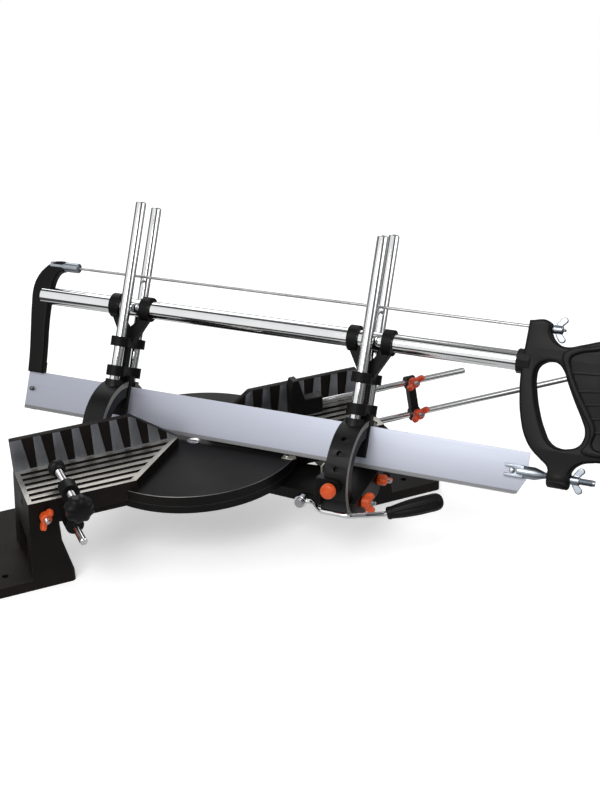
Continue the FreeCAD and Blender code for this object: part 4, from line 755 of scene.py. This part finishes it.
blade_steel = blade_metal()
stand_in("saw_blade", blade_strip(), SAW, blade_steel)
teeth = placed("blade_teeth", new_mesh("blade_teeth", blade_tooth()))
teeth.data.transform(SAW)
teeth.data.materials.append(blade_steel)
row = teeth.modifiers.new("row_of_teeth", "ARRAY")
row.use_relative_offset = False
row.use_constant_offset = True
row.constant_offset_displace = ALONG * TOOTH * MM
row.count = int((BLADE_FRONT - NOSE_LENGTH - BLADE_REAR) / TOOTH)
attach(teeth, "frame_saw")
dark_steel = bright_steel("dark_steel", (0.16, 0.155, 0.15), 0.45)
for pin, metal in (("rear_blade_pin", dark_steel), ("front_blade_pin", polished)):
    place, radius, length = lathe_place(pin, -ACROSS)
    outline = [(0, 0), (radius - 0.5, 0), (radius, 0.5), (radius, length - 0.8)]
    outline += [(radius - 0.5, length - 0.3), (radius - 1.3, length), (0, length)]
    stand_in(pin, turned(outline, 32), place, metal)


# Frame tube: chromed steel tube through both carriages, the backbone of the saw. Its rear end
# is open, and its front end goes into a faceted collar at the handle.
TUBE_WALL = 1.4
TUBE_RADIUS = 10
FITTING_BLACK = (0.0035, 0.0035, 0.0037)
place, radius, length = lathe_place("saw_tube", ALONG)
inside = radius - TUBE_WALL
wall = [(inside, 0), (radius - 0.4, 0), (radius, 0.4), (radius, length - 0.4)]
wall += [(radius - 0.4, length), (inside, length), (inside, 0)]
stand_in("saw_tube", turned(wall, 72), place, chrome)
collar_black = casting_paint("collar_black", FITTING_BLACK, (0.006, 0.006, 0.006), 0.4, 0.2)
place, radius, length = lathe_place("tube_collar", ALONG, 15)
facets = [(TUBE_RADIUS, 0), (radius, 0), (radius, length), (TUBE_RADIUS, length), (TUBE_RADIUS, 0)]
stand_in("tube_collar", turned(facets, 12), place, collar_black, edge=0.5, sharp=20)


# Frame arm: a curved black casting that joins the tube, the tension rod and the blade's rear
# end. The rod goes into a zinc plated ferrule, which lies in a seat on the arm's near side.
UPPER_ARM = [(-198, 180.5, 1), (-206, 180), (-215, 177), (-224.5, 169.5), (-232, 158.5)]
UPPER_ARM += [(-235.4, 146), (-234.4, 124), (-231, 97), (-227.5, 68), (-226, 47, 1)]
UPPER_ARM += [(-206, 47, 1), (-208, 76), (-210.8, 104), (-211.6, 130), (-210.6, 148)]
UPPER_ARM += [(-207.4, 161), (-203, 166.6), (-198, 168.5, 1)]
LOWER_ARM = [(-226.4, 60, 1), (-226, 30), (-224, 7), (-218, 3.6), (-211, 4), (-206.5, 14)]
LOWER_ARM += [(-206, 34), (-206.6, 60, 1)]
LOWER_ARM_ASIDE = 3
ROD_BORE, ROD_BORE_DEPTH = 1.7, 6
arm_shape = smooth_plate([UPPER_ARM], 5.5, 2.2)
lower = smooth_plate([LOWER_ARM], 2.5, 0.9)
bmesh.ops.translate(lower, verts=lower.verts, vec=(0, LOWER_ARM_ASIDE, 0))
stand_in("frame_arm", joined(arm_shape, lower), SAW, table_paint, sharp=50)
zinc = bright_steel("zinc", (0.42, 0.46, 0.51), 0.34, smudged=0.75)
place, radius, length = lathe_place("rod_ferrule", ALONG)
sleeve = [(0, 0), (radius - 0.8, 0), (radius, 0.8), (radius, length - 1.2)]
sleeve += [(radius - 1.2, length), (ROD_BORE, length), (ROD_BORE, length - ROD_BORE_DEPTH)]
sleeve += [(0, length - ROD_BORE_DEPTH)]
stand_in("rod_ferrule", turned(sleeve), place, zinc)


# Tension rod: a thin bright steel rod above the tube, from the ferrule to the handle's top.
# Its threaded front end takes the upper wing nut.
ROD_THREAD = 32
place, radius, length = lathe_place("tension_rod", ALONG)
rod = turned(threaded(radius, length, 0.7, length - ROD_THREAD), 28)
stand_in("tension_rod", rod, place, screw_steel, sharp=30)


# Handle: a black casting round a finger hole. The thicker grip has a raised border and cross
# ribs in its sunk panel, and the clevis bolt runs through its lower boss.
CASTING = [(354.4, 180.4, 1), (375, 180.6), (377.2, 170), (384, 161.5), (394, 158), (410, 162)]
CASTING += [(428, 168), (444, 171.4), (456, 170), (462.5, 162), (461, 150), (463, 137)]
CASTING += [(467.6, 122), (467.6, 102), (461.5, 84), (459, 72), (461.6, 60), (455, 51)]
CASTING += [(438, 47.6), (424, 43), (417, 34), (417, 20.2, 1), (395.5, 20.2, 1), (394, 36)]
CASTING += [(386, 43), (376, 51), (367.6, 62), (360.4, 80), (355, 106), (353, 130), (353.6, 156)]
FINGER_HOLE = [(367.8, 126), (369.2, 134), (374.4, 139.4), (381.4, 141.6), (389.6, 140)]
FINGER_HOLE += [(395.4, 134.6), (402, 121.6), (412, 103), (421, 87.6), (425.2, 78), (425, 68.6)]
FINGER_HOLE += [(420.8, 61.6), (411.6, 57.6), (400.8, 57), (392, 61), (383.8, 73), (376.6, 89)]
FINGER_HOLE += [(370.6, 109)]
GRIP = [(393, 150), (400, 156.5), (420, 162), (442, 167), (455, 165.4), (458.6, 159), (456.6, 146)]
GRIP += [(460.6, 134), (464, 121), (464, 102), (457.6, 84), (455, 71), (457, 61), (450, 55.6)]
GRIP += [(434, 53.4), (425, 57), (429.4, 66), (430, 79), (421.6, 93), (408.6, 113), (398, 134)]
PANEL = [(402, 147), (408, 152), (424, 156.6), (442, 160), (450.6, 157), (451, 147), (455, 134)]
PANEL += [(458.4, 120), (458, 104), (451.6, 86), (449, 71), (449.6, 62.6), (441, 60.4)]
PANEL += [(435.4, 64), (436.6, 79), (428.4, 95), (414.6, 116), (404.6, 136)]
RIBS = [((402, 133.4), (454, 136.6)), ((412, 116), (459, 121)), ((421, 103.6), (458, 108))]
RIBS += [((428, 90.4), (454, 94)), ((434, 77.6), (451, 79.4))]
CASTING_HALF, GRIP_HALF, RIB_HALF = 10.5, 14, 12.2
RIB_WIDTH = 3.2
BOSS_REAR = 395
CLEVIS_AXIS = 27.5


def rib(start, end):
    """A straight cross rib between two points."""
    run = (Vector(end) - Vector(start)).normalized() * RIB_WIDTH / 2
    side = Vector((-run.y, run.x))
    corners = (Vector(start) + side, Vector(end) + side, Vector(end) - side, Vector(start) - side)
    return smooth_plate([[(corner.x, corner.y, 1) for corner in corners]], RIB_HALF, 0.8)


def along_saw(shape, start, height):
    """Lay a turned shape along the saw from a point above the tilt axis."""
    lying = Matrix.Translation((start, 0, height)) @ Matrix.Rotation(math.radians(90), 4, "Y")
    shape.transform(lying)
    return shape


handle_paint = casting_paint("handle_paint", FITTING_BLACK, (0.0065, 0.0062, 0.006), 0.42, 0.18)
boss = turned([(0, 0), (9.6, 0), (11, 1.4), (11, 20.6), (9.6, 22), (0, 22)])
handle_shape = joined(
    smooth_plate([CASTING, FINGER_HOLE], CASTING_HALF, 3),
    smooth_plate([GRIP, PANEL], GRIP_HALF, 2.5),
    along_saw(boss, BOSS_REAR, CLEVIS_AXIS),
    *[rib(start, end) for start, end in RIBS],
)
stand_in("saw_handle", handle_shape, SAW, handle_paint, sharp=55)


# Clevis: a zinc plated steel end piece with two flat cheeks for the blade, notched round the
# bright pin. Behind them it is turned down to a bolt that runs through the handle's boss.
CHEEK = [(351.4, 21.2, 1), (371, 21.2, 1), (371, 33.8, 1), (351.4, 33.8, 1), (351.4, 30.9, 1)]
CHEEK += [(359.2, 30.9, 1), (361.6, 29.9), (362.7, 27.5), (361.6, 25.1), (359.2, 24.1, 1)]
CHEEK += [(351.4, 24.1, 1)]
CHEEK_HALF, CHEEK_ASIDE = 2.4, 3.3
CLEVIS_REAR = 364
THREAD_START, THREAD_END, THREAD_PITCH = 28, 76, 1.2
THREAD_CREST, THREAD_ROOT = 3.5, 2.9


def clevis_cheek(aside):
    """One of the two flat cheeks, to one side of the blade."""
    cheek = smooth_plate([CHEEK], CHEEK_HALF, 0.5)
    bmesh.ops.translate(cheek, verts=cheek.verts, vec=(0, aside, 0))
    return cheek


def clevis_bolt():
    """The half outline of the clevis's neck, which tapers to a threaded bolt."""
    points = [(0, 0), (6, 0), (6.5, 0.6), (6.5, 18), (3.6, 27), (3.2, THREAD_START)]
    height = THREAD_START
    while height < THREAD_END:
        points += [(THREAD_CREST, height + THREAD_PITCH / 2), (THREAD_ROOT, height + THREAD_PITCH)]
        height += THREAD_PITCH
    return points + [(THREAD_ROOT, THREAD_END + 2), (0, THREAD_END + 2)]


cheeks = [clevis_cheek(-CHEEK_ASIDE), clevis_cheek(CHEEK_ASIDE)]
clevis_shape = joined(along_saw(turned(clevis_bolt()), CLEVIS_REAR, CLEVIS_AXIS), *cheeks)
stand_in("blade_clevis", clevis_shape, SAW, zinc, sharp=28)


# Wing nuts: two small zinc plated nuts that tighten the rod and the clevis bolt. Each is a
# short barrel with two rounded ears.
EARS = [(2.4, -4), (5, -9), (8.4, -12.8), (12, -12.6), (13.6, -9.6), (11, -6), (8.6, -3)]
EARS += [(8.6, 3), (11, 6), (13.6, 9.6), (12, 12.6), (8.4, 12.8), (5, 9), (2.4, 4)]
ROD_AXIS = 174.5
TOP_NUT_REAR, BOTTOM_NUT_REAR = 378, 417.3


def wing_nut(node, start, height):
    """A wing nut from its rear end, with its ears upright."""
    barrel = turned([(0, 0), (4.5, 0), (4.5, 9), (3.4, 10), (0, 10)], 32)
    ears = smooth_plate([[(start + x, height + z) for x, z in EARS]], 1.9, 0.9)
    shape = joined(along_saw(barrel, start, height), ears)
    moulded(stand_in(node, shape, SAW, zinc), 0.35, 4)


wing_nut("top_wing_nut", TOP_NUT_REAR, ROD_AXIS)
wing_nut("bottom_wing_nut", BOTTOM_NUT_REAR, CLEVIS_AXIS)


# Work clamp: a bright bar in the left bed's front, a black cast arm on it, and a threaded
# screw with a round pad and a black knob with eight finger hollows.
KNOB_HOLLOWS = 8


def joint_way(name, towards):
    """A joint's axis, reversed if it points away from the given direction."""
    way = Vector(joints[name]["axis"])
    return way if way.dot(Vector(towards)) > 0 else -way


def plain_bar(node, direction, metal):
    """A round bar with chamfered ends."""
    place, radius, length = lathe_place(node, direction)
    bar = [(0, 0), (radius - 0.8, 0), (radius, 0.8), (radius, length - 0.8)]
    stand_in(node, turned(bar + [(radius - 0.8, length), (0, length)]), place, metal)


clamp_way = joint_way("clamp_bar_slide", (0, 1, 0))
plain_bar("clamp_rod", clamp_way, polished)
casting_copy("clamp_arm", table_paint, edge=0.9)
place, radius, length = lathe_place("clamp_screw", clamp_way)
thread = turned(threaded(radius - 0.15, length, 1.4), 32)
stand_in("clamp_screw", thread, place, screw_steel, sharp=25)
place, radius, length = lathe_place("clamp_pad", clamp_way)
pad = [(4.2, 0.4), (6, 0), (6.6, 3), (7.4, 5.4), (radius - 0.4, 6.4), (radius, 7.2)]
pad += [(radius, length - 0.8), (radius - 0.8, length), (0, length)]
stand_in("clamp_pad", turned(pad), place, collar_black)
place, radius, length = lathe_place("clamp_knob", clamp_way)
head = [(0, 0), (6, 0.3), (10, 1.2), (13, 3), (14.6, 5.2), (radius, 7.4), (radius, length - 2)]
head += [(14.2, length - 0.6), (12.6, length), (7, length), (6.6, length - 0.4), (0, length - 0.4)]
shape = pulled_in(turned(head, 128), KNOB_HOLLOWS, 1.7, 2, length, 8)
stand_in("clamp_knob", shape, place, grip_plastic, sharp=50)


# Length stop: two chromed steel rods joined by a black dog-bone link, with a black block on
# the upper rod's inner end. Orange wing screws lock the link on each rod.
for level in ("lower", "upper"):
    plain_bar("stop_%s_rod" % level, (1, 0, 0), chrome)
casting_copy("stop_link", collar_black, edge=0.8)
casting_copy("stop_block", collar_black, edge=0.8)
for level in ("lower", "upper"):
    way = joint_way("link_clamp_%s_turn" % level, (0, -1, 0))
    wing_screw("link_screw_" + level, "link_knob_" + level, way, 30, red_orange)


# Lock screws: an orange wing screw in the front of each leg, which holds the length stop's
# lower rod on the right, and keeps the same place on the left.
for side in ("left", "right"):
    wing_screw("lock_screw_" + side, "lock_knob_" + side, (0, -1, 0), 60, orange)
